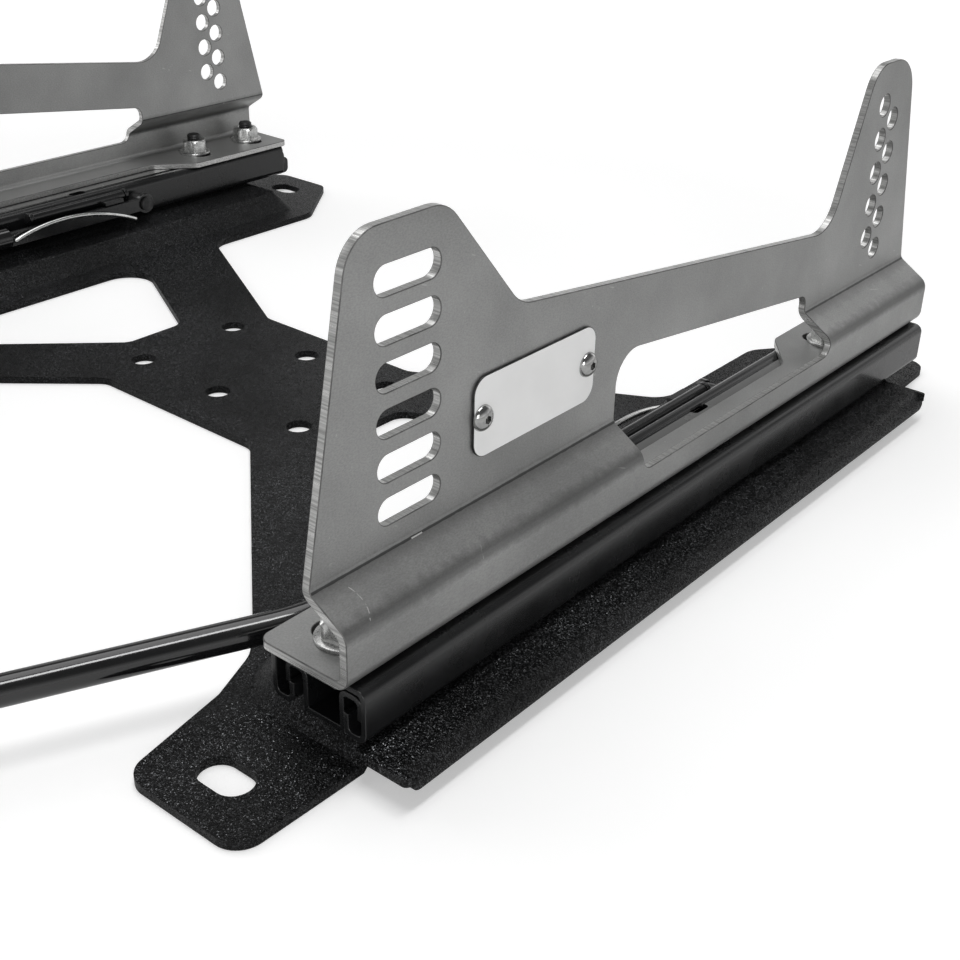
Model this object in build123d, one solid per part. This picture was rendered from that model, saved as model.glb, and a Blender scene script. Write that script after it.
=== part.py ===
"""Sliding seat mount: two folded side mounts on ball-bearing rails over one folded floor bracket."""

import os
from math import radians, tan

from build123d import *

# World: X across the seat, +Y towards the rear, +Z up, Z = 0 on the floor. Lengths are millimetres.
# Y is measured from the front end of the front seat slots until the pieces are written out.

# Running and assembly clearances
RUN = 0.05
SEAT = 0.3
BALL_PLAY = 0.03

# Floor bracket: one folded sheet
PLATE_T = 3.2
DECK_TOP = 12.8
TRAY_REACH = 45.8
TRAY_FRONT = -21.5
TRAY_REAR = 325.0
TRAY_CORNER = 12.0
TRAY_FRONT_CORNER = 21.0
DECK_REACH = 35.7
DECK_FRONT = -25.4
DECK_REAR = 314.0
DECK_CORNER = 2.0
LIP_DROP = 6.5
LIP_BEND = 2.0
LIP_END_R = 4.0
LIP_SEAM = 12.0
TAB_SLIT = 1.2
TONGUE_LAND = 3.0
STRIP_REACH = 58.3
HUB_FRONT = 95.0
HUB_REAR = 192.0
HUB_SIDE = 72.5
ARM_FILLET = 14.0
HUB_FRONT_CORNER = 47.8
HUB_REAR_CORNER = 47.0
HUB_CORNER_R = 8.0
ARM_FRONT_END = 2.2
ARM_REAR_END = 248.3
GAP_HUB_FRONT = 127.0
GAP_HUB_REAR = 158.5
GAP_FRONT = 47.0
GAP_REAR = 198.8
NECK_IN = 51.3
NECK_Y = -5.5
NECK_R = 16.0
NECK_STEP = 8.3
TAB_TAPER = 1.6
TAB_ROOT_R = 2.0
TONGUE_R = 1.0
TAB_IN = 34.9
REAR_TAB_IN = 26.3
REAR_NECK_Y = 323.0
TAB_FRONT = -67.5
TAB_REAR = 366.0
TAB_REACH = 14.2
TAB_CORNER = 9.0
TAB_HOLE_IN = 12.4
TAB_HOLE_FRONT = -49.2
TAB_HOLE_REAR = 345.5
TAB_HOLE_LENGTH = 19.6
TAB_HOLE_WIDTH = 12.7
HUB_HOLE_D = 11.0
HUB_HOLE_PITCH_X = 51.5
HUB_HOLE_PITCH_Y = 54.0
HUB_HOLE_Y = 146.0

# Rails: an outer channel on the seat side, an inner double hook on the floor side
RAIL_X = 210.8
RAIL_W = 38.0
RAIL_H = 20.3
RAIL_T = 2.0
UPPER_FRONT = -24.0
UPPER_REAR = 339.0
LOWER_FRONT = -22.0
LOWER_REAR = 343.0
UPPER_GROUND = 2.1
UPPER_TOP_BEND = 1.5
LIP_LEG_X = 11.0
LIP_LEG_TOP = 10.0
HOOK_WEB_X = 7.4
HOOK_TOP = 15.6
HOOK_OUTER = 15.6
HOOK_END = 7.4
HOOK_BEND = 1.4
TOP_SLOT_IN = 10.5
TOP_SLOT_Y = 195.0
TOP_SLOT_LENGTH = 10.0
TOP_SLOT_WIDTH = 4.0
GLIDE_LENGTH = 9.0
GLIDE_TOP = 10.6
GLIDE_BOTTOM = 1.0
GLIDE_SIDE = 4.4

# Rolling elements and their cages
BALL_TOP_D = 3.54
BALL_LOW_D = 3.2
CAGE_T = 0.6
CAGE_GAP = 0.45
CAGE_FRONT = 40.0
CAGE_REAR = 290.0
CAGE_WINDOW_FRONT = 120.0
CAGE_WINDOW_REAR = 252.0
CAGE_WINDOW_LOW = 8.2
CAGE_WINDOW_HIGH = 14.7
CAGE_LOW = 4.75
CAGE_HIGH = 17.4
BALL_YS = (50.0, 85.0, 262.0, 282.0)

# Side mounts: one folded sheet each
MOUNT_T = 3.0
WEB_SHIFT = 2.2
LOW_WEB_SHIFT = 15.95
BEND_RISE = 27.2
LOW_BEND_RISE = 18.7
BEND_SHIFT = 1.2
MOUNT_BEND = 2.5
FOOT_REACH = 20.4
BRIDGE_FOOT_REACH = 4.1
MOUNT_FRONT = -27.5
MOUNT_REAR = 341.7
ARM_FRONT = -9.0
ARM_BACK = 28.8
ARM_R = 13.0
ARM_ROOT_R = 6.0
BRIDGE_FRONT = 61.9
BRIDGE_FRONT_RISE = 85.6
BRIDGE_REAR = 263.7
BRIDGE_REAR_RISE = 58.2
BRIDGE_R = 15.0
REAR_ARM_FRONT = 287.4
REAR_ARM_BACK = 319.2
REAR_ARM_R = 13.0
REAR_ARM_BACK_R = 18.0
WINDOW_R = 5.0
WINDOW_FRONT_R = 11.0
FOOT_TAPER = 21.0
FOOT_R = 7.0
FOOT_CORNER = 4.0
ARM_RISE = 124.2
REAR_ARM_RISE = 120.4
WINDOW_FRONT = 115.5
WINDOW_REAR = 250.5
WINDOW_RISE = 13.0
WINDOW_FRONT_RISE = 53.1
WINDOW_REAR_RISE = 34.8
SLOT_COUNT = 6
SLOT_PITCH = 13.75
SLOT_LENGTH = 26.2
SLOT_WIDTH = 8.8
SLOT_RISE = 108.6
HOLE_D = 9.1
HOLE_COUNT = 5
HOLE_STEP_Y = 0.4
HOLE_STEP_Z = -14.0
HOLE_TOPS = ((298.1, 103.3), (307.4, 96.4))
FOOT_SLOT_LENGTH = 23.0
FOOT_SLOT_WIDTH = 10.5
FOOT_SLOT_SHIFT = -1.5

# Badge, left bare
BADGE_L = 60.6
BADGE_H = 26.6
BADGE_T = 0.9
BADGE_R = 5.7
BADGE_Y = 70.2
BADGE_RISE = 55.15
BADGE_SCREW_IN = 4.0
BADGE_SCREW_D = 4.0
BADGE_HEAD_D = 8.5
BADGE_HEAD_H = 2.4
BADGE_SOCKET = 2.5
BADGE_SOCKET_DEPTH = 1.4

# Fasteners
STUD_IN = 1.8
STUD_D = 8.0
STUD_YS = (-11.0, 29.0, 285.0, 325.0)
STUD_RISE = 13.9
STUD_HEAD_D = 11.6
STUD_HEAD_H = 1.8
NUT_AF = 13.0
NUT_H = 8.0
NUT_FLANGE_D = 17.8
NUT_FLANGE_H = 1.6
TRACK_SCREW_YS = (20.0, 295.0)
TRACK_HEAD_D = 11.4
TRACK_HEAD_H = 3.4
TRACK_SOCKET = 5.0
TRACK_SOCKET_DEPTH = 2.0
TRACK_NUT_H = 6.4
TRACK_SCREW_END = 1.6

# Release bar, latch levers and lock plates
TUBE_D = 9.8
TUBE_WALL = 1.5
BAR_RISE = 12.5
BAR_GAP = 8.8
BAR_LEG_END = 139.0
BAR_KNEE_Y = 0.8
BAR_KNEE_ANGLE = 25.3
BAR_FRONT = -150.0
BAR_KNEE_R = 60.0
BAR_CORNER_R = 42.0
LEVER_T = 3.0
LEVER_H = 7.2
LEVER_TONGUE = 18.0
LEVER_TONGUE_H = 4.8
LEVER_EYE_R = 5.4
PIVOT_Y = 226.0
PIVOT_RISE = 11.4
PIVOT_D = 6.0
PIVOT_HEAD_D = 7.6
PIVOT_HEAD_T = 1.2
PIVOT_COLLAR_D = 9.0
LOCK_PIN_D = 3.0
LOCK_PIN_GAP = 2.9
LOCK_PIN_RISE = 17.2
LOCK_BARREL_D = 5.4
LOCK_T = 2.4
LOCK_CLEAR = 10.0
LOCK_LENGTH = 58.0
LOCK_RISE = 8.7
LOCK_EAR_T = 2.0
LOCK_EAR_GAP = 0.4
TOOTH_COUNT = 3
TOOTH_INSET = 16.0
TOOTH_W = 5.0
TOOTH_RISE = 11.0
TOOTH_H = 2.2
NOTCH_PITCH = 12.0
NOTCHES_BEFORE = 8
NOTCH_COUNT = 19
NOTCH_W = 5.6
NOTCH_RISE = 9.1
NOTCH_H = 4.6
SLIT_RISE = 6.6
SLIT_H = 7.2
LUG_INSET = 10.0
LUG_W = 12.0
LUG_T = 2.2
LUG_REACH = 9.6
WIRE_D = 2.2
WIRE_GAP = 12.3
WIRE_FRONT_Y = 141.5
WIRE_REAR_Y = 216.0
WIRE_REAR_RISE = 5.6
WIRE_CREST_Y = 166.0
WIRE_CREST_RISE = 15.8
WIRE_FALL_Y = 196.0
WIRE_FALL_RISE = 12.8
WIRE_HOLE_R = 2.0
WIRE_BEND_SWELL = 0.06

# Derived sizes
RAIL_INNER = RAIL_X - RAIL_W / 2
RAIL_TOP = DECK_TOP + RAIL_H
FLANGE_TOP = RAIL_TOP + MOUNT_T
HALF_W = RAIL_W / 2
WALL_IN = HALF_W - RAIL_T
CEILING = RAIL_H - RAIL_T
LIP_TOP = UPPER_GROUND + RAIL_T
STUD_X = RAIL_X - STUD_IN
BADGE_SCREW_SPACING = BADGE_L - 2 * BADGE_SCREW_IN
FOOT_HOLE_X = RAIL_X + FOOT_SLOT_SHIFT
TONGUE_ROOT = TRAY_FRONT + DECK_TOP - PLATE_T + TONGUE_LAND
TRAY_INNER = RAIL_X - TRAY_REACH
DECK_OUTER = RAIL_X + DECK_REACH
STRIP_INNER = RAIL_X - STRIP_REACH
TAB_OUTER = RAIL_X + TAB_REACH
TAB_HOLE_X = RAIL_X - TAB_HOLE_IN
WEB_X = RAIL_X + WEB_SHIFT
LOW_WEB_X = RAIL_X + LOW_WEB_SHIFT
FOOT_INNER = RAIL_X - FOOT_REACH
STRIP_EDGE = RAIL_X - BRIDGE_FOOT_REACH
TOP_SLOT_X = RAIL_X - TOP_SLOT_IN
BAR_LEG_X = RAIL_INNER - BAR_GAP
LOCK_PIN_X = RAIL_INNER - LOCK_PIN_GAP
LUG_TIP_X = RAIL_INNER - LUG_REACH
WIRE_X = RAIL_INNER - WIRE_GAP
PIVOT_Z = DECK_TOP + PIVOT_RISE
BAR_Z = DECK_TOP + BAR_RISE
LOCK_PIN_Z = DECK_TOP + LOCK_PIN_RISE
LOCK_LOW = DECK_TOP + LOCK_RISE
TOOTH_LOW = DECK_TOP + TOOTH_RISE
NOTCH_LOW = DECK_TOP + NOTCH_RISE
NOTCH_HIGH = NOTCH_LOW + NOTCH_H
WINDOW_TOOTH_LOW = DECK_TOP + SLIT_RISE
WINDOW_TOOTH_HIGH = WINDOW_TOOTH_LOW + SLIT_H
WIRE_REAR_Z = DECK_TOP + WIRE_REAR_RISE
WIRE_CREST_Z = DECK_TOP + WIRE_CREST_RISE
BEND_Z = RAIL_TOP + BEND_RISE
LOW_BEND_Z = RAIL_TOP + LOW_BEND_RISE
ARM_TOP = RAIL_TOP + ARM_RISE
REAR_ARM_TOP = RAIL_TOP + REAR_ARM_RISE
WINDOW_LOW = RAIL_TOP + WINDOW_RISE
WINDOW_TOP_FRONT = RAIL_TOP + WINDOW_FRONT_RISE
WINDOW_TOP_REAR = RAIL_TOP + WINDOW_REAR_RISE
SLOT_TOP_Z = RAIL_TOP + SLOT_RISE
BADGE_Z = RAIL_TOP + BADGE_RISE
STUD_END = RAIL_TOP + STUD_RISE
NECK_X = RAIL_X - NECK_IN
TAB_INNER = RAIL_X - TAB_IN
REAR_TAB_INNER = RAIL_X - REAR_TAB_IN
LOCK_REAR = PIVOT_Y - LOCK_CLEAR
LOCK_FRONT = LOCK_REAR - LOCK_LENGTH
LUG_Y = LOCK_REAR - LUG_INSET
TOOTH_YS = [LOCK_FRONT + TOOTH_INSET + k * NOTCH_PITCH for k in range(TOOTH_COUNT)]
NOTCH_FRONT = TOOTH_YS[0] - NOTCHES_BEFORE * NOTCH_PITCH
TOOTH_TIP_X = RAIL_X - HOOK_OUTER - SEAT
Y_MID = (BAR_FRONT - TUBE_D / 2 + TAB_REAR) / 2


def polygon(points):
    """Closed straight-sided face in the XY plane."""
    return make_face(Polyline(*points, close=True))


def rounded(points_radii):
    """Closed face whose corners each take their own radius."""
    face = polygon([(x, y) for x, y, r in points_radii])
    for x, y, r in points_radii:
        if r:
            corner = face.vertices().sort_by_distance((x, y))[0]
            face = fillet(corner, r)
    return face


def sheet_section(points, thickness, bend, side):
    """Bent sheet seen end on: the points run along one face, the sheet lies left (1) or right (-1)."""
    runs = [Vector(*b) - Vector(*a) for a, b in zip(points, points[1:])]
    normals = [Vector(-r.Y, r.X).normalized() * side for r in runs]
    near = []
    far = []
    for i, point in enumerate(points):
        before = normals[max(i - 1, 0)]
        after = normals[min(i, len(normals) - 1)]
        other = Vector(*point) + (before + after) * (thickness / (1 + before.dot(after)))
        turn = (before.X * after.Y - before.Y * after.X) * side
        near_r = bend + thickness if turn > 0 else bend
        far_r = bend if turn > 0 else bend + thickness
        bent = abs(turn) > 1e-6
        near.append((point[0], point[1], near_r if bent else 0))
        far.append((other.X, other.Y, far_r if bent else 0))
    return rounded(near + far[::-1])


def hexagon(across_flats):
    """Face of a nut, head or socket, given across its flats."""
    return RegularPolygon(across_flats / 2, 6, major_radius=False)


def across_x(face, low, high):
    """Prism along X of a face drawn with Y and Z as its two directions."""
    plane = Plane(origin=(low, 0, 0), x_dir=(0, 1, 0), z_dir=(1, 0, 0))
    return extrude(plane * face, amount=high - low)


def along_y(face, low, high):
    """Prism along Y of a face drawn with X and Z as its two directions."""
    plane = Plane(origin=(0, high, 0), x_dir=(1, 0, 0), z_dir=(0, -1, 0))
    return extrude(plane * face, amount=high - low)


def upright(face, low, high):
    """Prism along Z of a face drawn in the XY plane."""
    return extrude(Pos(0, 0, low) * face, amount=high - low)


def rod(axis, centre, radius, length):
    """Cylinder that starts at the centre point and runs along an axis."""
    plane = Plane(origin=centre, z_dir=axis)
    return extrude(plane * Circle(radius), amount=length)


def block(low, high):
    """Box from its lowest to its highest corner."""
    size = [b - a for a, b in zip(low, high)]
    return Pos(*low) * Box(*size, align=(Align.MIN, Align.MIN, Align.MIN))


def mirrored(shape):
    """The same piece on the left-hand side."""
    return mirror(shape, about=Plane.YZ)


def both_sides(shapes):
    """Right-hand pieces followed by their left-hand twins."""
    return list(shapes) + [mirrored(s) for s in shapes]


def bracket_outline():
    """Right half of the floor bracket seen from above, without its holes."""
    points = [
        (0, HUB_FRONT, 0),
        (HUB_FRONT_CORNER, HUB_FRONT, HUB_CORNER_R),
        (STRIP_INNER, ARM_FRONT_END, 0),
        (NECK_X, NECK_Y, NECK_R),
        (NECK_X + NECK_STEP, DECK_FRONT, 0),
        (TAB_INNER, TAB_FRONT, TAB_CORNER),
        (TAB_OUTER - TAB_TAPER, TAB_FRONT, TAB_CORNER),
        (TAB_OUTER, TONGUE_ROOT, 0),
        (TAB_OUTER + TAB_SLIT, TONGUE_ROOT, 0),
        (TAB_OUTER + TAB_SLIT, DECK_FRONT, TONGUE_R),
        (DECK_OUTER, DECK_FRONT, DECK_CORNER),
        (DECK_OUTER, DECK_REAR, DECK_CORNER),
        (TAB_OUTER + TAB_TAPER, DECK_REAR, TAB_ROOT_R),
        (TAB_OUTER, TAB_REAR, TAB_CORNER),
        (REAR_TAB_INNER, TAB_REAR, TAB_CORNER),
        (STRIP_INNER, REAR_NECK_Y, ARM_FILLET),
        (STRIP_INNER, ARM_REAR_END, ARM_FILLET),
        (HUB_REAR_CORNER, HUB_REAR, HUB_CORNER_R),
        (0, HUB_REAR, 0),
    ]
    return rounded(points)


def bracket_side_gap():
    """Opening between one front arm, one rear arm and the rail strip."""
    points = [
        (HUB_SIDE, GAP_HUB_FRONT, HUB_CORNER_R),
        (STRIP_INNER, GAP_FRONT, ARM_FILLET),
        (STRIP_INNER, GAP_REAR, ARM_FILLET),
        (HUB_SIDE, GAP_HUB_REAR, HUB_CORNER_R),
    ]
    return rounded(points)


def tray(footprint_grow, base_z, height):
    """Raised pad with 45 degree flanks that carries one rail."""
    reach = DECK_OUTER + 2 * DECK_TOP
    points = [
        (TRAY_INNER - footprint_grow, TRAY_FRONT - footprint_grow, TRAY_FRONT_CORNER),
        (reach, TRAY_FRONT - footprint_grow, 0),
        (reach, TRAY_REAR + footprint_grow, 0),
        (TRAY_INNER - footprint_grow, TRAY_REAR + footprint_grow, TRAY_CORNER),
    ]
    return extrude(Pos(0, 0, base_z) * rounded(points), amount=height, taper=45)


def floor_bracket():
    """One folded sheet: hub, four arms, two strips, two raised decks with lips and four tabs."""
    half = bracket_outline() - bracket_side_gap()
    rise = DECK_TOP - PLATE_T
    slab = upright(half, 0, PLATE_T)
    raised = tray(0, PLATE_T, rise)
    hollow = tray(-PLATE_T * tan(radians(22.5)), 0, rise)
    pad = upright(half, 0, DECK_TOP) & raised
    body = (slab + pad) - hollow
    beside_slit = block(
        (TAB_OUTER + TAB_SLIT / 2, DECK_FRONT - 1, -1),
        (DECK_OUTER + 1, TONGUE_ROOT, DECK_TOP + 1),
    )
    tongue = upright(half, DECK_TOP - PLATE_T, DECK_TOP) & beside_slit
    body = (body - beside_slit) + tongue
    lip = sheet_section(
        [(DECK_OUTER - LIP_SEAM, DECK_TOP), (DECK_OUTER, DECK_TOP), (DECK_OUTER, DECK_TOP - LIP_DROP)],
        PLATE_T,
        LIP_BEND,
        -1,
    )
    lip_solid = along_y(lip, DECK_FRONT + DECK_CORNER, DECK_REAR - DECK_CORNER)
    lip_side = [
        (DECK_FRONT + DECK_CORNER, DECK_TOP + 1, 0),
        (DECK_REAR - DECK_CORNER, DECK_TOP + 1, 0),
        (DECK_REAR - DECK_CORNER, DECK_TOP - LIP_DROP, LIP_END_R),
        (DECK_FRONT + DECK_CORNER, DECK_TOP - LIP_DROP, LIP_END_R),
    ]
    lip_solid &= across_x(rounded(lip_side), DECK_OUTER - LIP_SEAM - 1, DECK_OUTER + 1)
    edge = block(
        (DECK_OUTER - LIP_SEAM, DECK_FRONT + DECK_CORNER, 0),
        (DECK_OUTER + 1, DECK_REAR - DECK_CORNER, DECK_TOP + 5),
    )
    body = (body - edge) + lip_solid
    tab_slot = SlotOverall(TAB_HOLE_LENGTH, TAB_HOLE_WIDTH)
    for y in (TAB_HOLE_FRONT, TAB_HOLE_REAR):
        body -= upright(Pos(TAB_HOLE_X, y) * tab_slot, -1, DECK_TOP)
    for y in TRACK_SCREW_YS:
        body -= upright(Pos(RAIL_X, y) * Circle(STUD_D / 2 + SEAT), -1, DECK_TOP + 1)
    for x in (0, HUB_HOLE_PITCH_X):
        for y in (-HUB_HOLE_PITCH_Y / 2, HUB_HOLE_PITCH_Y / 2):
            body -= upright(Pos(x, HUB_HOLE_Y + y) * Circle(HUB_HOLE_D / 2), -1, DECK_TOP)
    return body + mirrored(body)


def lower_track():
    """Floor-side profile: a narrow channel whose walls hook outwards and down."""
    top = DECK_TOP + HOOK_TOP
    outer = HOOK_OUTER
    end = DECK_TOP + HOOK_END
    web_in = HOOK_WEB_X - RAIL_T / 2
    base = DECK_TOP + RAIL_T
    hook = sheet_section(
        [
            (web_in + RAIL_T, base),
            (web_in + RAIL_T, top - RAIL_T),
            (outer - RAIL_T, top - RAIL_T),
            (outer - RAIL_T, end),
        ],
        RAIL_T,
        HOOK_BEND,
        1,
    )
    floor = polygon([(0, DECK_TOP), (web_in + RAIL_T, DECK_TOP), (web_in + RAIL_T, base), (0, base)])
    section = floor + hook
    solid = along_y(section, LOWER_FRONT, LOWER_REAR)
    solid = solid + mirrored(solid)
    solid = Pos(RAIL_X, 0, 0) * solid
    for y in TRACK_SCREW_YS:
        solid -= upright(Pos(RAIL_X, y) * Circle(STUD_D / 2 + SEAT), DECK_TOP - 1, base + 1)
    leg = RAIL_X - outer
    for i in range(NOTCH_COUNT):
        y = NOTCH_FRONT + i * NOTCH_PITCH
        solid -= block(
            (leg - 1, y - NOTCH_W / 2, NOTCH_LOW),
            (leg + RAIL_T + 0.5, y + NOTCH_W / 2, NOTCH_HIGH),
        )
    return solid


def upper_track():
    """Seat-side profile: a channel turned over, with lips that hook inwards and up."""
    bottom = DECK_TOP + UPPER_GROUND
    wall = sheet_section(
        [
            (0, RAIL_TOP - RAIL_T),
            (WALL_IN, RAIL_TOP - RAIL_T),
            (WALL_IN, bottom + RAIL_T),
            (LIP_LEG_X + RAIL_T / 2, bottom + RAIL_T),
            (LIP_LEG_X + RAIL_T / 2, DECK_TOP + LIP_LEG_TOP),
        ],
        RAIL_T,
        UPPER_TOP_BEND,
        1,
    )
    solid = along_y(wall, UPPER_FRONT, UPPER_REAR)
    solid = solid + mirrored(solid)
    solid = Pos(RAIL_X, 0, 0) * solid
    slot = Rot(0, 0, 90) * SlotOverall(TOP_SLOT_LENGTH, TOP_SLOT_WIDTH)
    solid -= upright(Pos(TOP_SLOT_X, TOP_SLOT_Y) * slot, RAIL_TOP - 4, RAIL_TOP + 1)
    for y in STUD_YS:
        solid -= rod((0, 0, 1), (STUD_X, y, RAIL_TOP - 4), STUD_D / 2 + RUN, 6)
    reach = RAIL_INNER - 1
    for y in TOOTH_YS:
        solid -= block(
            (reach, y - NOTCH_W / 2, WINDOW_TOOTH_LOW),
            (reach + RAIL_T + 2, y + NOTCH_W / 2, WINDOW_TOOTH_HIGH),
        )
    solid -= rod((1, 0, 0), (reach, PIVOT_Y, PIVOT_Z), PIVOT_D / 2 + RUN, RAIL_T + 2)
    solid -= rod((1, 0, 0), (reach, WIRE_REAR_Y, WIRE_REAR_Z), WIRE_HOLE_R, RAIL_T + 2)
    ear_r = LOCK_BARREL_D / 2 + 0.3
    for y in (LOCK_FRONT - LOCK_EAR_GAP - LOCK_EAR_T, LOCK_REAR + LOCK_EAR_GAP):
        ear = rod((0, 1, 0), (LOCK_PIN_X, y, LOCK_PIN_Z), ear_r, LOCK_EAR_T)
        foot = block(
            (LOCK_PIN_X, y, LOCK_PIN_Z - ear_r),
            (RAIL_INNER + 0.5, y + LOCK_EAR_T, LOCK_PIN_Z - 0.4),
        )
        ear = ear + foot
        solid += ear - rod((0, 1, 0), (LOCK_PIN_X, y - 1, LOCK_PIN_Z), LOCK_PIN_D / 2, LOCK_EAR_T + 2)
    return solid


def lip_glides():
    """Plastic end pieces on the rear ends of one upper track's lips."""
    glides = []
    for side in (-1, 1):
        x = RAIL_X + side * LIP_LEG_X
        body = block(
            (x - GLIDE_SIDE / 2, UPPER_REAR, DECK_TOP + GLIDE_BOTTOM),
            (x + GLIDE_SIDE / 2, UPPER_REAR + GLIDE_LENGTH, DECK_TOP + GLIDE_TOP),
        )
        rear = body.edges().filter_by(Axis.X).sort_by(Axis.Y)[-2:]
        glides.append(fillet(rear, GLIDE_LENGTH / 3))
    return glides


def ball_positions():
    """Offsets from the rail's middle of the two ball rows on one side."""
    top_r = BALL_TOP_D / 2
    low_r = BALL_LOW_D / 2
    top = (WALL_IN - top_r - BALL_PLAY, CEILING - top_r - BALL_PLAY, top_r)
    low = (WALL_IN - low_r - BALL_PLAY, LIP_TOP + low_r + BALL_PLAY, low_r)
    return (top, low)


def balls():
    """Steel balls of one rail."""
    found = []
    for side in (-1, 1):
        for dx, dz, r in ball_positions():
            for y in BALL_YS:
                found.append(Pos(RAIL_X + side * dx, y, DECK_TOP + dz) * Sphere(r))
    return found


def cages():
    """Two strips that space the balls of one rail."""
    strips = []
    for side in (-1, 1):
        outer = WALL_IN - CAGE_GAP
        low_x, high_x = sorted((RAIL_X + side * outer, RAIL_X + side * (outer - CAGE_T)))
        strip = block((low_x, CAGE_FRONT, DECK_TOP + CAGE_LOW), (high_x, CAGE_REAR, DECK_TOP + CAGE_HIGH))
        strip -= block(
            (low_x - 1, CAGE_WINDOW_FRONT, DECK_TOP + CAGE_WINDOW_LOW),
            (high_x + 1, CAGE_WINDOW_REAR, DECK_TOP + CAGE_WINDOW_HIGH),
        )
        for dx, dz, r in ball_positions():
            for y in BALL_YS:
                strip -= rod((1, 0, 0), (low_x - 1, y, DECK_TOP + dz), r + RUN, CAGE_T + 2)
        strips.append(strip)
    return strips


def mount_side_view():
    """Side mount seen along X: both arms, the bridge between them and the window."""
    outline = [
        (MOUNT_FRONT, RAIL_TOP, 0),
        (MOUNT_FRONT, BEND_Z, ARM_ROOT_R),
        (ARM_FRONT, ARM_TOP, ARM_R),
        (ARM_BACK, ARM_TOP, ARM_R),
        (BRIDGE_FRONT, RAIL_TOP + BRIDGE_FRONT_RISE, BRIDGE_R),
        (BRIDGE_REAR, RAIL_TOP + BRIDGE_REAR_RISE, BRIDGE_R),
        (REAR_ARM_FRONT, REAR_ARM_TOP, REAR_ARM_R),
        (REAR_ARM_BACK, REAR_ARM_TOP, REAR_ARM_BACK_R),
        (MOUNT_REAR, BEND_Z, FOOT_CORNER),
        (MOUNT_REAR, RAIL_TOP, 0),
    ]
    window = [
        (WINDOW_FRONT, WINDOW_LOW, WINDOW_R),
        (WINDOW_FRONT, WINDOW_TOP_FRONT, WINDOW_FRONT_R),
        (WINDOW_REAR, WINDOW_TOP_REAR, WINDOW_R),
        (WINDOW_REAR, WINDOW_LOW, WINDOW_R),
    ]
    face = rounded(outline) - rounded(window)
    for k in range(SLOT_COUNT):
        face -= Pos(SLOT_LENGTH / 2, SLOT_TOP_Z - k * SLOT_PITCH) * SlotOverall(SLOT_LENGTH, SLOT_WIDTH)
    for y, rise in HOLE_TOPS:
        for k in range(HOLE_COUNT):
            centre = Pos(y + k * HOLE_STEP_Y, RAIL_TOP + rise + k * HOLE_STEP_Z)
            face -= centre * Circle(HOLE_D / 2)
    return face


def foot_plan():
    """Flange of a side mount seen from above: two wide feet joined by a narrow strip."""
    outer = LOW_WEB_X + 5
    points = [
        (outer, MOUNT_FRONT, 0),
        (FOOT_INNER, MOUNT_FRONT, FOOT_CORNER),
        (FOOT_INNER, WINDOW_FRONT - FOOT_TAPER, FOOT_R),
        (STRIP_EDGE, WINDOW_FRONT, FOOT_R),
        (STRIP_EDGE, WINDOW_REAR, FOOT_R),
        (FOOT_INNER, WINDOW_REAR + FOOT_TAPER, FOOT_R),
        (FOOT_INNER, MOUNT_REAR, FOOT_CORNER),
        (outer, MOUNT_REAR, 0),
    ]
    return rounded(points)


def side_mount(with_badge_holes):
    """Folded sheet: seat web, outward step, lower web and inward flange on the rail."""
    seat_face = WEB_X - MOUNT_T
    low_face = LOW_WEB_X - MOUNT_T
    inner_side = [
        (seat_face, ARM_TOP),
        (seat_face, BEND_Z - BEND_SHIFT),
        (low_face, LOW_BEND_Z - BEND_SHIFT),
        (low_face, FLANGE_TOP),
        (FOOT_INNER, FLANGE_TOP),
    ]
    section = sheet_section(inner_side, MOUNT_T, MOUNT_BEND, 1)
    solid = along_y(section, MOUNT_FRONT - 5, MOUNT_REAR + 5)
    solid &= across_x(mount_side_view(), FOOT_INNER - 5, LOW_WEB_X + 5)
    web_length = 2 * (MOUNT_REAR - MOUNT_FRONT)
    web_plan = Pos((WEB_X + LOW_WEB_X) / 2, (MOUNT_FRONT + MOUNT_REAR) / 2) * Rectangle(
        LOW_WEB_X - WEB_X + 10, web_length
    )
    solid &= upright(foot_plan() + web_plan, RAIL_TOP - 1, ARM_TOP + 1)
    for y in STUD_YS:
        hole = Pos(FOOT_HOLE_X, y) * SlotOverall(FOOT_SLOT_LENGTH, FOOT_SLOT_WIDTH)
        solid -= upright(hole, RAIL_TOP - 1, FLANGE_TOP + 1)
    if with_badge_holes:
        for y in (-BADGE_SCREW_SPACING / 2, BADGE_SCREW_SPACING / 2):
            start = (seat_face - 1, BADGE_Y + y, BADGE_Z)
            solid -= rod((1, 0, 0), start, BADGE_SCREW_D / 2, MOUNT_T + 2)
    return solid


def badge_plate():
    """Bare plate on the outside of the right-hand mount."""
    face = Pos(BADGE_Y, BADGE_Z) * RectangleRounded(BADGE_L, BADGE_H, BADGE_R)
    for y in (-BADGE_SCREW_SPACING / 2, BADGE_SCREW_SPACING / 2):
        face -= Pos(BADGE_Y + y, BADGE_Z) * Circle(BADGE_SCREW_D / 2 + SEAT)
    return across_x(face, WEB_X, WEB_X + BADGE_T)


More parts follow.
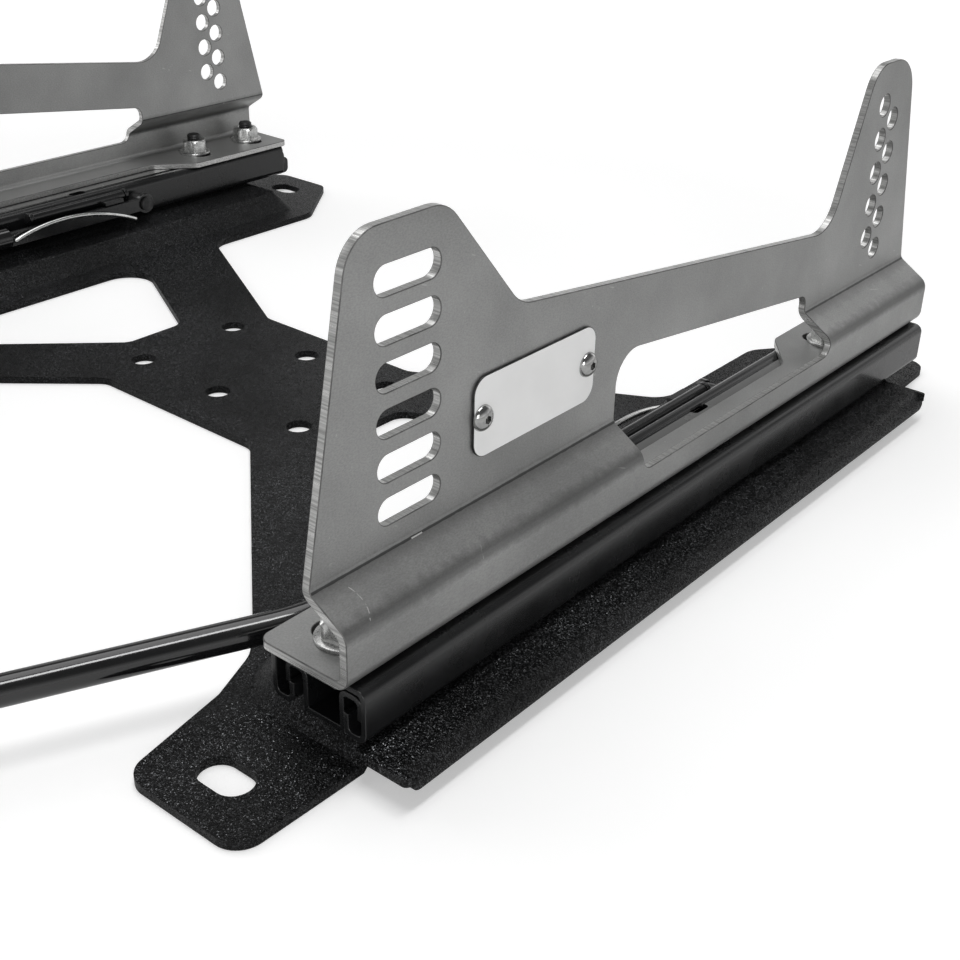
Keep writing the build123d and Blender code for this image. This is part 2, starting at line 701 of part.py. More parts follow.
def badge_screws():
    """Round-head screws that hold the badge."""
    screws = []
    face = WEB_X + BADGE_T
    for y in (-BADGE_SCREW_SPACING / 2, BADGE_SCREW_SPACING / 2):
        head = rod((1, 0, 0), (face, BADGE_Y + y, BADGE_Z), BADGE_HEAD_D / 2, BADGE_HEAD_H)
        head = fillet(head.faces().sort_by(Axis.X)[-1].edges(), BADGE_HEAD_H * 0.8)
        inner_end = (WEB_X - MOUNT_T, BADGE_Y + y, BADGE_Z)
        shank = rod((1, 0, 0), inner_end, BADGE_SCREW_D / 2, MOUNT_T + BADGE_T)
        plane = Plane(origin=(face + BADGE_HEAD_H, BADGE_Y + y, BADGE_Z), z_dir=(-1, 0, 0))
        socket = extrude(plane * hexagon(BADGE_SOCKET), amount=BADGE_SOCKET_DEPTH)
        screws.append(head + shank - socket)
    return screws


def stud(y):
    """Stud pressed into the upper track, with its thin head inside."""
    shaft = rod((0, 0, 1), (STUD_X, y, RAIL_TOP - RAIL_T), STUD_D / 2, STUD_END - RAIL_TOP + RAIL_T)
    shaft = chamfer(shaft.faces().sort_by(Axis.Z)[-1].edges(), 0.8)
    head = rod((0, 0, 1), (STUD_X, y, RAIL_TOP - RAIL_T - STUD_HEAD_H), STUD_HEAD_D / 2, STUD_HEAD_H)
    return shaft + head


def flange_nut(y):
    """Hexagon nut with its own washer face."""
    base = rod((0, 0, 1), (STUD_X, y, FLANGE_TOP), NUT_FLANGE_D / 2, NUT_FLANGE_H)
    base = chamfer(base.faces().sort_by(Axis.Z)[-1].edges(), NUT_FLANGE_H * 0.6, NUT_FLANGE_H * 0.6)
    body = extrude(Pos(STUD_X, y, FLANGE_TOP) * hexagon(NUT_AF), amount=NUT_H)
    cone = rod((0, 0, 1), (STUD_X, y, FLANGE_TOP), NUT_AF / 2 * 1.12, NUT_H)
    cone = chamfer(cone.faces().sort_by(Axis.Z)[-1].edges(), 1.2)
    bore = rod((0, 0, 1), (STUD_X, y, FLANGE_TOP - 1), STUD_D / 2 + RUN, NUT_H + 2)
    return base + (body & cone) - bore


def track_screw(y):
    """Low-head screw through the lower track and the deck."""
    seat = DECK_TOP + RAIL_T
    head = rod((0, 0, 1), (RAIL_X, y, seat), TRACK_HEAD_D / 2, TRACK_HEAD_H)
    shaft = rod((0, 0, 1), (RAIL_X, y, TRACK_SCREW_END), STUD_D / 2, seat - TRACK_SCREW_END)
    plane = Plane(origin=(RAIL_X, y, seat + TRACK_HEAD_H), z_dir=(0, 0, -1))
    socket = extrude(plane * hexagon(TRACK_SOCKET), amount=TRACK_SOCKET_DEPTH)
    return head + shaft - socket


def track_nut(y):
    """Hexagon nut under the deck."""
    top = DECK_TOP - PLATE_T
    body = extrude(Pos(RAIL_X, y, top - TRACK_NUT_H) * hexagon(NUT_AF), amount=TRACK_NUT_H)
    return body - rod((0, 0, 1), (RAIL_X, y, 0), STUD_D / 2 + RUN, DECK_TOP)


def release_bar():
    """Bent tube: a crossbar in front and one leg along each rail."""
    run = (BAR_KNEE_Y - BAR_FRONT) * tan(radians(BAR_KNEE_ANGLE))
    front_x = BAR_LEG_X - run
    leg = Line((BAR_LEG_X, BAR_LEG_END, BAR_Z), (BAR_LEG_X, BAR_KNEE_Y, BAR_Z))
    slope = Line((BAR_LEG_X, BAR_KNEE_Y, BAR_Z), (front_x, BAR_FRONT, BAR_Z))
    knee_cut = BAR_KNEE_R * tan(radians(BAR_KNEE_ANGLE / 2))
    corner_turn = 90 - BAR_KNEE_ANGLE
    corner_cut = BAR_CORNER_R * tan(radians(corner_turn / 2))
    a = leg @ 0
    b = Vector(BAR_LEG_X, BAR_KNEE_Y + knee_cut, BAR_Z)
    along = (slope % 0)
    c = slope @ 0 + along * knee_cut
    d = slope @ 1 - along * corner_cut
    e = Vector(front_x - corner_cut, BAR_FRONT, BAR_Z)
    f = Vector(0, BAR_FRONT, BAR_Z)
    first = Line(a, b)
    knee = TangentArc(b, c, tangent=first % 1)
    middle = Line(c, d)
    corner = TangentArc(d, e, tangent=middle % 1)
    last = Line(e, f)
    path = first + knee + middle + corner + last
    ring = Circle(TUBE_D / 2) - Circle(TUBE_D / 2 - TUBE_WALL)
    section = Plane(origin=a, z_dir=first % 0) * ring
    half = sweep(section, path=path)
    return half + mirrored(half)


def latch_lever():
    """Flat lever whose tongue sits in the tube and whose eye turns on the pivot pin."""
    half_h = LEVER_H / 2
    body = Pos((BAR_LEG_END + 0.5 + PIVOT_Y) / 2, PIVOT_Z) * Rectangle(PIVOT_Y - BAR_LEG_END - 0.5, LEVER_H)
    tongue = Pos(BAR_LEG_END + 0.5 - LEVER_TONGUE / 2, BAR_Z) * Rectangle(LEVER_TONGUE + 1, LEVER_TONGUE_H)
    eye = Pos(PIVOT_Y, PIVOT_Z) * Circle(LEVER_EYE_R)
    face = body + tongue + eye
    face -= Pos(PIVOT_Y, PIVOT_Z) * Circle(PIVOT_D / 2 + RUN)
    face -= Pos(WIRE_FRONT_Y, PIVOT_Z) * Circle(WIRE_D / 2 + RUN)
    return across_x(face, BAR_LEG_X - LEVER_T / 2, BAR_LEG_X + LEVER_T / 2)


def pivot_pin():
    """Shouldered pin from the upper track's inner wall through the lever's eye."""
    inner = BAR_LEG_X - LEVER_T / 2 - SEAT
    shaft = rod((1, 0, 0), (inner, PIVOT_Y, PIVOT_Z), PIVOT_D / 2, RAIL_INNER + RAIL_T - inner)
    head = rod((1, 0, 0), (inner - PIVOT_HEAD_T, PIVOT_Y, PIVOT_Z), PIVOT_HEAD_D / 2, PIVOT_HEAD_T)
    collar_x = BAR_LEG_X + LEVER_T / 2 + SEAT
    collar = rod((1, 0, 0), (collar_x, PIVOT_Y, PIVOT_Z), PIVOT_COLLAR_D / 2, RAIL_INNER - collar_x)
    return shaft + head + collar


def lock_plate():
    """Toothed plate that hangs on its pin beside the upper track's inner wall."""
    barrel = rod((0, 1, 0), (LOCK_PIN_X, LOCK_FRONT, LOCK_PIN_Z), LOCK_BARREL_D / 2, LOCK_REAR - LOCK_FRONT)
    outer = RAIL_INNER - 0.4
    web = block((outer - LOCK_T, LOCK_FRONT, LOCK_LOW), (outer, LOCK_REAR, LOCK_PIN_Z))
    solid = barrel + web
    for y in TOOTH_YS:
        solid += block(
            (outer - LOCK_T, y - TOOTH_W / 2, TOOTH_LOW),
            (TOOTH_TIP_X, y + TOOTH_W / 2, TOOTH_LOW + TOOTH_H),
        )
    lug_low = PIVOT_Z + LEVER_H / 2 + SEAT
    solid += block(
        (LUG_TIP_X, LUG_Y - LUG_W / 2, lug_low),
        (outer - LOCK_T, LUG_Y + LUG_W / 2, lug_low + LUG_T),
    )
    start = (LOCK_PIN_X, LOCK_FRONT - 1, LOCK_PIN_Z)
    return solid - rod((0, 1, 0), start, LOCK_PIN_D / 2 + RUN, LOCK_REAR - LOCK_FRONT + 2)


def lock_pin():
    """Pin through the two ears of the upper track."""
    start = LOCK_FRONT - LOCK_EAR_GAP - LOCK_EAR_T
    length = LOCK_REAR - LOCK_FRONT + 2 * (LOCK_EAR_GAP + LOCK_EAR_T)
    return rod((0, 1, 0), (LOCK_PIN_X, start, LOCK_PIN_Z), LOCK_PIN_D / 2, length)


def spring_wire():
    """Bowed return wire from the lever's front end to a hole in the upper track."""
    start = (BAR_LEG_X + LEVER_T / 2, WIRE_FRONT_Y, PIVOT_Z)
    front = (WIRE_X, WIRE_FRONT_Y, PIVOT_Z)
    rear = (WIRE_X, WIRE_REAR_Y, WIRE_REAR_Z)
    end = (RAIL_INNER + RAIL_T / 2, WIRE_REAR_Y, WIRE_REAR_Z)
    crest = (WIRE_X, WIRE_CREST_Y, WIRE_CREST_Z)
    fall = (WIRE_X, WIRE_FALL_Y, DECK_TOP + WIRE_FALL_RISE)
    bow = Spline(front, crest, fall, rear)
    radius = WIRE_D / 2
    arc = sweep(Plane(origin=bow @ 0, z_dir=bow % 0) * Circle(radius), path=bow)
    front_leg = rod((-1, 0, 0), start, radius, start[0] - front[0])
    rear_leg = rod((1, 0, 0), rear, radius, end[0] - rear[0])
    bend_r = radius + WIRE_BEND_SWELL
    swells = Pos(*front) * Sphere(bend_r) + Pos(*rear) * Sphere(bend_r)
    return arc + swells + front_leg + rear_leg


def write(name, shapes):
    """Moves the pieces to the shared origin and writes one STEP file."""
    solids = []
    for shape in shapes:
        solids += (Pos(0, -Y_MID, 0) * shape).solids()
    whole = solids[0] if len(solids) == 1 else Compound(children=solids)
    export_step(whole, os.path.join("parts", name + ".step"))
    print(name, len(solids), "solids", round(sum(s.volume for s in solids)), "mm3")


def main():
    os.makedirs("parts", exist_ok=True)
    write("floor_bracket", [floor_bracket()])
    pairs = {
        "lower_track": lower_track(),
        "upper_track": upper_track(),
        "latch_lever": latch_lever(),
        "lock_plate": lock_plate(),
        "spring_wire": spring_wire(),
    }
    for name, shape in pairs.items():
        write(name + "_right", [shape])
        write(name + "_left", [mirrored(shape)])
    write("side_mount_right", [side_mount(True)])
    write("side_mount_left", [mirrored(side_mount(False))])
    rail_balls = balls()
    rail_cages = cages()
    write("balls_right", rail_balls)
    write("balls_left", [mirrored(b) for b in rail_balls])
    write("ball_cages_right", rail_cages)
    write("ball_cages_left", [mirrored(c) for c in rail_cages])
    write("lip_glides", both_sides(lip_glides()))
    write("badge_plate", [badge_plate()])
    write("badge_screws", badge_screws())
    write("mount_studs", both_sides([stud(y) for y in STUD_YS]))
    write("flange_nuts", both_sides([flange_nut(y) for y in STUD_YS]))
    write("track_screws", both_sides([track_screw(y) for y in TRACK_SCREW_YS]))
    write("track_nuts", both_sides([track_nut(y) for y in TRACK_SCREW_YS]))
    write("release_bar", [release_bar()])
    write("pivot_pins", both_sides([pivot_pin()]))
    write("lock_pins", both_sides([lock_pin()]))


main()
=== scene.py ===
# %% [markdown]
# # A sliding seat mount, dressed for its picture
#
# Two folded steel side mounts stand on ball-bearing rails. The rails lie on one
# folded floor bracket with a hub of six holes, and a bent tube in front lifts the
# latches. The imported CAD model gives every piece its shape, place and motion. This
# file gives the pieces the finish of the real ones: bare rolled sheet with bright
# cut edges, sparkling black powder coat, satin black rails, a glossy tube, zinc
# nuts and a bare badge plate.
#
# Lengths are metres unless a comment says millimetres. X runs across the seat, +Y
# towards its rear, +Z up, and the floor is at Z = 0.

# %% Load the frame
import math

import bmesh
import bpy
from mathutils import Matrix, Vector


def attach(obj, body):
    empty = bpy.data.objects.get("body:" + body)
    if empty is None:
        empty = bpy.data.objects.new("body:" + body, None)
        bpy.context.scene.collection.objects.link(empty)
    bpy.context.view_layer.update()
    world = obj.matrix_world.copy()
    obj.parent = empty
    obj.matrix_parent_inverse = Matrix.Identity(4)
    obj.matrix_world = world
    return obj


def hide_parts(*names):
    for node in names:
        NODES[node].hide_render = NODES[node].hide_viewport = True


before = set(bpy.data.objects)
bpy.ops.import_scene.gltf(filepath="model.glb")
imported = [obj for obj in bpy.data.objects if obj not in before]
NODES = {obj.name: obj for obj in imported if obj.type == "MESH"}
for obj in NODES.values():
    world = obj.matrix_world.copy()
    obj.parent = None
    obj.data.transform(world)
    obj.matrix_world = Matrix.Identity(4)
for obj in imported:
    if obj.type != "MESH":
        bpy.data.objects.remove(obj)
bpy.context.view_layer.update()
MM = 0.001
WHITE = (1.0, 1.0, 1.0, 1.0)

# %% [markdown]
# ## The camera
#
# The photograph was taken from the front right, a bit above the mounts, with the
# far rail partly out of the picture. Its place and direction were worked out from
# the slots and edges of the near mount. A camera looks along its own -Z, so the
# matrix below has the picture's right, up and backward directions as its columns.
# The small shift puts the picture's centre where the lens pointed.

# %% Camera
TURN = math.radians(37.396)
DOWN = math.radians(29.175)
ROLL = math.radians(2.165)
EYE = Vector((0.4504, -0.3498, 0.2713))
SENSOR_MM, LENS_MM = 36.0, 52.512
SHIFT_X, SHIFT_Y = -0.0451, 0.0135
NEAREST = 0.01

ahead = Vector((
    -math.sin(TURN) * math.cos(DOWN),
    math.cos(TURN) * math.cos(DOWN),
    -math.sin(DOWN),
))
level = Vector((math.cos(TURN), math.sin(TURN), 0.0))
rise = level.cross(ahead)
right = level * math.cos(ROLL) + rise * math.sin(ROLL)
up = rise * math.cos(ROLL) - level * math.sin(ROLL)

lens = bpy.data.cameras.new("photo_lens")
lens.sensor_width = SENSOR_MM
lens.lens = LENS_MM
lens.shift_x = SHIFT_X
lens.shift_y = SHIFT_Y
lens.clip_start = NEAREST
camera = bpy.data.objects.new("photo_camera", lens)
bpy.context.collection.objects.link(camera)
camera.matrix_world = Matrix((
    (right.x, up.x, -ahead.x, EYE.x),
    (right.y, up.y, -ahead.y, EYE.y),
    (right.z, up.z, -ahead.z, EYE.z),
    (0, 0, 0, 1),
))
bpy.context.scene.camera = camera
print("camera", round(lens.lens, 2), "mm at", [round(v, 3) for v in EYE])

# %% [markdown]
# ## Building materials with nodes
#
# Every finish below is a small graph of shader nodes. A few helpers keep the graphs
# readable: one adds a node and sets its inputs, one joins two sockets, and one
# takes either a socket or a plain value. An effect that several finishes share
# becomes a group with named sockets.

# %% Shader helpers
def add(tree, kind, inputs=None, **settings):
    """One node, with its settings and input values."""
    made = tree.nodes.new(kind)
    for name, value in settings.items():
        setattr(made, name, value)
    for name, value in (inputs or {}).items():
        made.inputs[name].default_value = value
    return made


def join(tree, source, target):
    """One link between an output and an input socket."""
    tree.links.new(source, target)


def feed(tree, value, target):
    """Puts a value into an input, by a link if it comes from a socket."""
    if isinstance(value, bpy.types.NodeSocket):
        join(tree, value, target)
    else:
        target.default_value = value


def finish_of(name, color, metallic, roughness, **more):
    """A new material with its Principled shader."""
    material = bpy.data.materials.new(name)
    material.use_nodes = True
    tree = material.node_tree
    shader = tree.nodes["Principled BSDF"]
    shader.inputs["Base Color"].default_value = (*color, 1.0)
    shader.inputs["Metallic"].default_value = metallic
    shader.inputs["Roughness"].default_value = roughness
    for socket, value in more.items():
        shader.inputs[socket.replace("_", " ")].default_value = value
    return material, tree, shader


def new_group(name, inputs, outputs):
    """An empty shader node group with named sockets."""
    group = bpy.data.node_groups.new(name, "ShaderNodeTree")
    sockets = group.interface
    for label, value in inputs.items():
        socket = sockets.new_socket(label, in_out="INPUT", socket_type="NodeSocketFloat")
        socket.default_value = value
    for label in outputs:
        sockets.new_socket(label, in_out="OUTPUT", socket_type="NodeSocketFloat")
    return group, group.nodes.new("NodeGroupInput"), group.nodes.new("NodeGroupOutput")


print("helpers ready")

# %% [markdown]
# ## Places, distances and noise
#
# The same few steps come back in every pattern: take the place on the piece, take
# it apart into X, Y and Z, measure a distance, and read a noise there. Patterns
# read Object coordinates, which stay put on a piece when it moves.

# %% Pattern helpers
def maths(tree, operation, first, second=0.0):
    """A Math node fed by sockets or numbers."""
    node = add(tree, "ShaderNodeMath", operation=operation)
    feed(tree, first, node.inputs[0])
    feed(tree, second, node.inputs[1])
    return node.outputs[0]


def distance(tree, value, centre):
    """How far a value lies from another, either way."""
    return maths(tree, "ABSOLUTE", maths(tree, "SUBTRACT", value, centre))


def clamped(tree, value):
    """A value kept between 0 and 1."""
    return maths(tree, "MINIMUM", maths(tree, "MAXIMUM", value, 0.0), 1.0)


def axes_of(tree, vector):
    """The X, Y and Z of a vector, by name."""
    split = add(tree, "ShaderNodeSeparateXYZ")
    join(tree, vector, split.inputs[0])
    return split.outputs


def object_place(tree):
    """The place on the piece, in the piece's own frame."""
    return add(tree, "ShaderNodeTexCoord").outputs["Object"]


def drawn_out(tree, vector, stretch):
    """A place with its Y divided, so that a pattern grows long along Y."""
    axes = axes_of(tree, vector)
    merge = add(tree, "ShaderNodeCombineXYZ")
    join(tree, axes["X"], merge.inputs["X"])
    join(tree, maths(tree, "DIVIDE", axes["Y"], stretch), merge.inputs["Y"])
    join(tree, axes["Z"], merge.inputs["Z"])
    return merge.outputs[0]


def noise(tree, place, scale, detail, roughness=0.5):
    """A noise pattern read at a place."""
    node = add(tree, "ShaderNodeTexNoise", {"Detail": detail, "Roughness": roughness})
    join(tree, place, node.inputs["Vector"])
    feed(tree, scale, node.inputs["Scale"])
    return node.outputs["Fac"]


print("pattern helpers ready")

# %% [markdown]
# ## Shared effect: clouds and grain
#
# No sheet or coat is even. Rolled steel has soft cloudy patches and a fine grain,
# and paint has faint patches of its own. One group makes both values, so that each
# material only chooses their sizes. `Stretch` draws the grain out along Y, the
# direction in which the sheets were rolled and the rails were drawn.

# %% Clouds and grain
def build_clouds_and_grain():
    names = {"Cloud Scale": 30.0, "Grain Scale": 1800.0, "Stretch": 1.0}
    group, inside, outside = new_group("clouds_and_grain", names, ("Cloud", "Grain"))
    place = object_place(group)
    cloud = noise(group, place, inside.outputs["Cloud Scale"], 4.0, 0.55)
    longer = drawn_out(group, place, inside.outputs["Stretch"])
    grain = noise(group, longer, inside.outputs["Grain Scale"], 3.0, 0.6)
    join(group, cloud, outside.inputs["Cloud"])
    join(group, grain, outside.inputs["Grain"])
    return group


CLOUDS = build_clouds_and_grain()


def clouds(tree, cloud_scale, grain_scale, stretch=1.0):
    """Places the clouds-and-grain group in a material."""
    values = {"Cloud Scale": cloud_scale, "Grain Scale": grain_scale, "Stretch": stretch}
    return add(tree, "ShaderNodeGroup", values, node_tree=CLOUDS).outputs


print("group", CLOUDS.name)

# %% [markdown]
# ## Shared effect: hairline scratches
#
# Handled metal carries a few fine scratches in many directions. A noise squeezed
# hard in one direction and cut near its peak leaves short thin strokes. The group
# lays two sets of strokes across each other, each turned by its own angle. More
# `Amount` lowers the cut, so more strokes pass it.

# %% Hairlines
STROKE_TURNS = (0.35, -0.9)
PEAK, PEAK_DROP, STROKE_SHARPNESS = 0.82, 0.12, 30.0


def build_hairlines():
    names = {"Scale": 60.0, "Length": 30.0, "Amount": 0.5}
    group, inside, outside = new_group("hairlines", names, ("Mask",))
    place = object_place(group)
    lowered = maths(group, "MULTIPLY", inside.outputs["Amount"], PEAK_DROP)
    edge = maths(group, "SUBTRACT", PEAK, lowered)
    total = 0.0
    for turn in STROKE_TURNS:
        rotation = (turn, turn * 0.4, turn * 0.7)
        turned = add(group, "ShaderNodeMapping", {"Rotation": rotation})
        join(group, place, turned.inputs["Vector"])
        longer = drawn_out(group, turned.outputs[0], inside.outputs["Length"])
        pattern = noise(group, longer, inside.outputs["Scale"], 2.0, 0.7)
        above = maths(group, "SUBTRACT", pattern, edge)
        cut = clamped(group, maths(group, "MULTIPLY", above, STROKE_SHARPNESS))
        total = maths(group, "MAXIMUM", total, cut)
    join(group, total, outside.inputs["Mask"])
    return group


HAIRLINES = build_hairlines()


def hairlines(tree, scale, length, amount):
    """Places the hairline group in a material."""
    values = {"Scale": scale, "Length": length, "Amount": amount}
    return add(tree, "ShaderNodeGroup", values, node_tree=HAIRLINES).outputs["Mask"]


print("group", HAIRLINES.name)

# %% [markdown]
# ## Shared effect: painted shade along the folds
#
# Along each fold a darker band is painted: painted shade, where the bend turns
# away from the light. A mask of the distance in Z from a height, with a soft edge
# and a little noise, draws one band. The mounts fold at two heights, and the upper
# fold has a thin painted dark line within its band as well.

# %% Painted fold shade
def build_painted_fold_shade():
    names = {"Height": 0.06, "Half Width": 0.002, "Softness": 0.5}
    group, inside, outside = new_group("painted_fold_shade", names, ("Mask",))
    place = object_place(group)
    # One band of painted shade along a fold at the given height.
    away = distance(group, axes_of(group, place)["Z"], inside.outputs["Height"])
    waver = maths(group, "ADD", noise(group, place, 300.0, 2.0), 0.5)
    width = maths(group, "MULTIPLY", inside.outputs["Half Width"], waver)
    near = maths(group, "SUBTRACT", 1.0, maths(group, "DIVIDE", away, width))
    mask = maths(group, "DIVIDE", near, inside.outputs["Softness"])
    join(group, clamped(group, mask), outside.inputs["Mask"])
    return group


FOLD_SHADE = build_painted_fold_shade()


def fold_shade_band(tree, height, half_width, softness):
    """Places the painted fold-shade group in a material, lengths in millimetres."""
    values = {"Height": height * MM, "Half Width": half_width * MM, "Softness": softness}
    return add(tree, "ShaderNodeGroup", values, node_tree=FOLD_SHADE).outputs["Mask"]


print("group", FOLD_SHADE.name)

# %% [markdown]
# ## From patterns to a finish
#
# A pattern is only a number between 0 and 1. A ramp turns it into tones, a range
# turns it into roughness, a mix lays one colour over another, and a bump turns it
# into small heights. These four make every finish below.

# %% Finish helpers
def mix(tree, factor, first, second, blend="MIX"):
    """One colour laid over another, each from a socket or given."""
    node = add(tree, "ShaderNodeMix", data_type="RGBA", blend_type=blend)
    feed(tree, factor, node.inputs["Factor"])
    feed(tree, first, node.inputs["A"])
    feed(tree, second, node.inputs["B"])
    return node.outputs["Result"]


def ramp(tree, value, low, high, dark, light):
    """Colours between two tones as a value goes from low to high."""
    node = add(tree, "ShaderNodeValToRGB")
    ends = node.color_ramp.elements
    ends[0].position = low
    ends[1].position = high
    ends[0].color = (*dark, 1.0)
    ends[1].color = (*light, 1.0)
    join(tree, value, node.inputs["Fac"])
    return node.outputs["Color"]


def spread(tree, value, low, high, first, last):
    """Maps a value from one range to another."""
    limits = {"From Min": low, "From Max": high, "To Min": first, "To Max": last}
    node = add(tree, "ShaderNodeMapRange", limits)
    join(tree, value, node.inputs["Value"])
    return node.outputs["Result"]


def bump(tree, shader, height, strength, depth):
    """Feeds a height to a shader's normal."""
    node = add(tree, "ShaderNodeBump", {"Strength": strength, "Distance": depth})
    join(tree, height, node.inputs["Height"])
    join(tree, node.outputs["Normal"], shader.inputs["Normal"])


print("finish helpers ready")

# %% [markdown]
# ## Bare rolled steel
#
# The side mounts are cold-rolled sheet under a thin clear coat: mid grey, softly
# mirror-like, with cloudy patches and fine grain. A metallic shader with a middling
# roughness gives the soft reflections, and the clouds shift both tone and
# roughness. The right-hand mount also has a short scratched arc on its step and a
# nick on its upper fold, each placed by its distance from a point.

# %% The scuff and the nick, lengths in millimetres
ARC_X, ARC_Y, ARC_RADIUS, ARC_WIDTH, ARC_STARTS = 220.15, -127.99, 7.69, 0.22, 5.0
NICK_Y, NICK_Z, NICK_HALF_LENGTH, NICK_HALF_WIDTH = -90.4, 60.5, 2.3, 0.16
UNBROKEN = 0.52


def build_scuffs(tree):
    """A broken arc scratched on the right mount's step, and a nick on its upper fold."""
    place = object_place(tree)
    axes = axes_of(tree, place)
    off_x = maths(tree, "SUBTRACT", axes["X"], ARC_X * MM)
    off_y = maths(tree, "SUBTRACT", axes["Y"], ARC_Y * MM)
    squares = maths(
        tree, "ADD", maths(tree, "MULTIPLY", off_x, off_x), maths(tree, "MULTIPLY", off_y, off_y)
    )
    ring = distance(tree, maths(tree, "POWER", squares, 0.5), ARC_RADIUS * MM)
    broken = noise(tree, place, 700.0, 1.0)
    thin = maths(tree, "LESS_THAN", ring, maths(tree, "MULTIPLY", broken, ARC_WIDTH * MM))
    arc = maths(tree, "MULTIPLY", thin, maths(tree, "GREATER_THAN", broken, UNBROKEN))
    behind = maths(tree, "GREATER_THAN", off_y, ARC_STARTS * MM)
    arc = maths(tree, "MULTIPLY", arc, behind)
    along = distance(tree, axes["Y"], NICK_Y * MM)
    height = distance(tree, axes["Z"], NICK_Z * MM)
    short = maths(tree, "LESS_THAN", along, NICK_HALF_LENGTH * MM)
    narrow = maths(tree, "LESS_THAN", height, NICK_HALF_WIDTH * MM)
    nick = maths(tree, "MULTIPLY", short, narrow)
    both = maths(tree, "MAXIMUM", maths(tree, "MULTIPLY", arc, 0.8), nick)
    on_right = maths(tree, "GREATER_THAN", axes["X"], 0.0)
    return maths(tree, "MULTIPLY", both, on_right)


print("scuffs ready")

# %% Rolled steel
# Painted fold shade: height and half width in millimetres, softness, and how dark it is.
FOLD_SHADE_BANDS = (
    (60.3, 2.6, 0.9, 0.4),
    (60.7, 0.45, 0.4, 0.9),
    (51.8, 3.4, 0.8, 0.6),
)
FOLD_SHADE_COLOR = (0.05, 0.051, 0.05, 1.0)
SCRATCHED = (0.7, 0.7, 0.69, 1.0)


def build_rolled_steel():
    material, tree, shader = finish_of("rolled_steel", (0.3, 0.3, 0.297), 0.75, 0.42)
    tone = clouds(tree, 17.0, 2300.0, 2.0)
    base = ramp(tree, tone["Cloud"], 0.32, 0.7, (0.3, 0.302, 0.298), (0.43, 0.431, 0.426))
    speck = ramp(tree, tone["Grain"], 0.35, 0.65, (0.8, 0.8, 0.8), (1.0, 1.0, 1.0))
    speckled = mix(tree, 1.0, base, speck, "MULTIPLY")
    folds = 0.0
    for height, half_width, softness, darkness in FOLD_SHADE_BANDS:
        fold_band = fold_shade_band(tree, height, half_width, softness)
        folds = maths(tree, "MAXIMUM", folds, maths(tree, "MULTIPLY", fold_band, darkness))
    # The fold bands darken the steel: painted shade along the folds.
    fold_shaded = mix(tree, folds, speckled, FOLD_SHADE_COLOR)
    marks = hairlines(tree, 420.0, 26.0, 0.7)
    bare = maths(tree, "MAXIMUM", maths(tree, "MULTIPLY", marks, 0.35), build_scuffs(tree))
    join(tree, mix(tree, bare, fold_shaded, SCRATCHED), shader.inputs["Base Color"])
    rough = maths(
        tree, "ADD",
        spread(tree, tone["Cloud"], 0.3, 0.7, 0.46, 0.38),
        spread(tree, tone["Grain"], 0.3, 0.7, -0.05, 0.05),
    )
    join(tree, rough, shader.inputs["Roughness"])
    bump(tree, shader, maths(tree, "SUBTRACT", tone["Grain"], marks), 0.12, 0.00002)
    return material


STEEL = build_rolled_steel()
print("finish", STEEL.name)

# %% [markdown]
# ## Laser-cut edges
#
# A laser leaves fine ridges straight through the sheet, so a cut edge shows bright
# stripes across its thickness. The sheet is thin along X, so a noise that ignores X
# and changes quickly along Y and Z draws exactly those stripes, round slots and
# corners too. The rim where edge meets face is burnt, a thin dark line.

# %% Cut edge and burnt rim
def build_cut_edge():
    material, tree, shader = finish_of("cut_edge", (0.6, 0.6, 0.59), 0.9, 0.3)
    across = add(tree, "ShaderNodeMapping", {"Scale": (0.0, 1.0, 1.0)})
    join(tree, object_place(tree), across.inputs["Vector"])
    ridges = noise(tree, across.outputs[0], 1500.0, 2.0)
    tones = ramp(tree, ridges, 0.35, 0.65, (0.33, 0.33, 0.325), (0.68, 0.68, 0.67))
    join(tree, tones, shader.inputs["Base Color"])
    join(tree, spread(tree, ridges, 0.3, 0.7, 0.42, 0.24), shader.inputs["Roughness"])
    bump(tree, shader, ridges, 0.5, 0.00007)
    return material


def build_burnt_rim():
    material, tree, shader = finish_of("burnt_rim", (0.06, 0.058, 0.055), 0.5, 0.5)
    tone = clouds(tree, 160.0, 1500.0)
    tones = ramp(tree, tone["Cloud"], 0.35, 0.7, (0.08, 0.08, 0.079), (0.2, 0.198, 0.195))
    join(tree, tones, shader.inputs["Base Color"])
    join(tree, spread(tree, tone["Grain"], 0.3, 0.7, 0.4, 0.6), shader.inputs["Roughness"])
    return material


CUT_EDGE = build_cut_edge()
BURNT_RIM = build_burnt_rim()
print("finishes", CUT_EDGE.name, BURNT_RIM.name)

# %% [markdown]
# ## Textured powder coat
#
# The floor bracket wears a fine textured black powder coat. Close up it is a field
# of grains that each lean another way, and a few of them are bare enough to glint
# like metal while the rest stay nearly black. A Voronoi texture gives each grain
# its own colour. That colour, taken as a direction, leans the grain's normal, its
# red part picks the few that glint, and its green part sets how dull each is. The
# Bevel node rounds the sheet's edges in the shading only, because powder fills
# sharp corners.

# %% Powder coat
COAT_BLACK = (0.004, 0.0042, 0.0044)
COAT_DARKEST, COAT_DARK = (0.002, 0.0021, 0.0022), (0.006, 0.0062, 0.0064)
GLINT = (0.13, 0.133, 0.139, 1.0)
EDGE_ROUND = 0.0007


def vector_step(tree, operation, first, second=None, inputs=None):
    """A Vector Math node fed by one or two sockets."""
    node = add(tree, "ShaderNodeVectorMath", inputs, operation=operation)
    feed(tree, first, node.inputs[0])
    if second is not None:
        feed(tree, second, node.inputs[1])
    return node.outputs["Vector"]


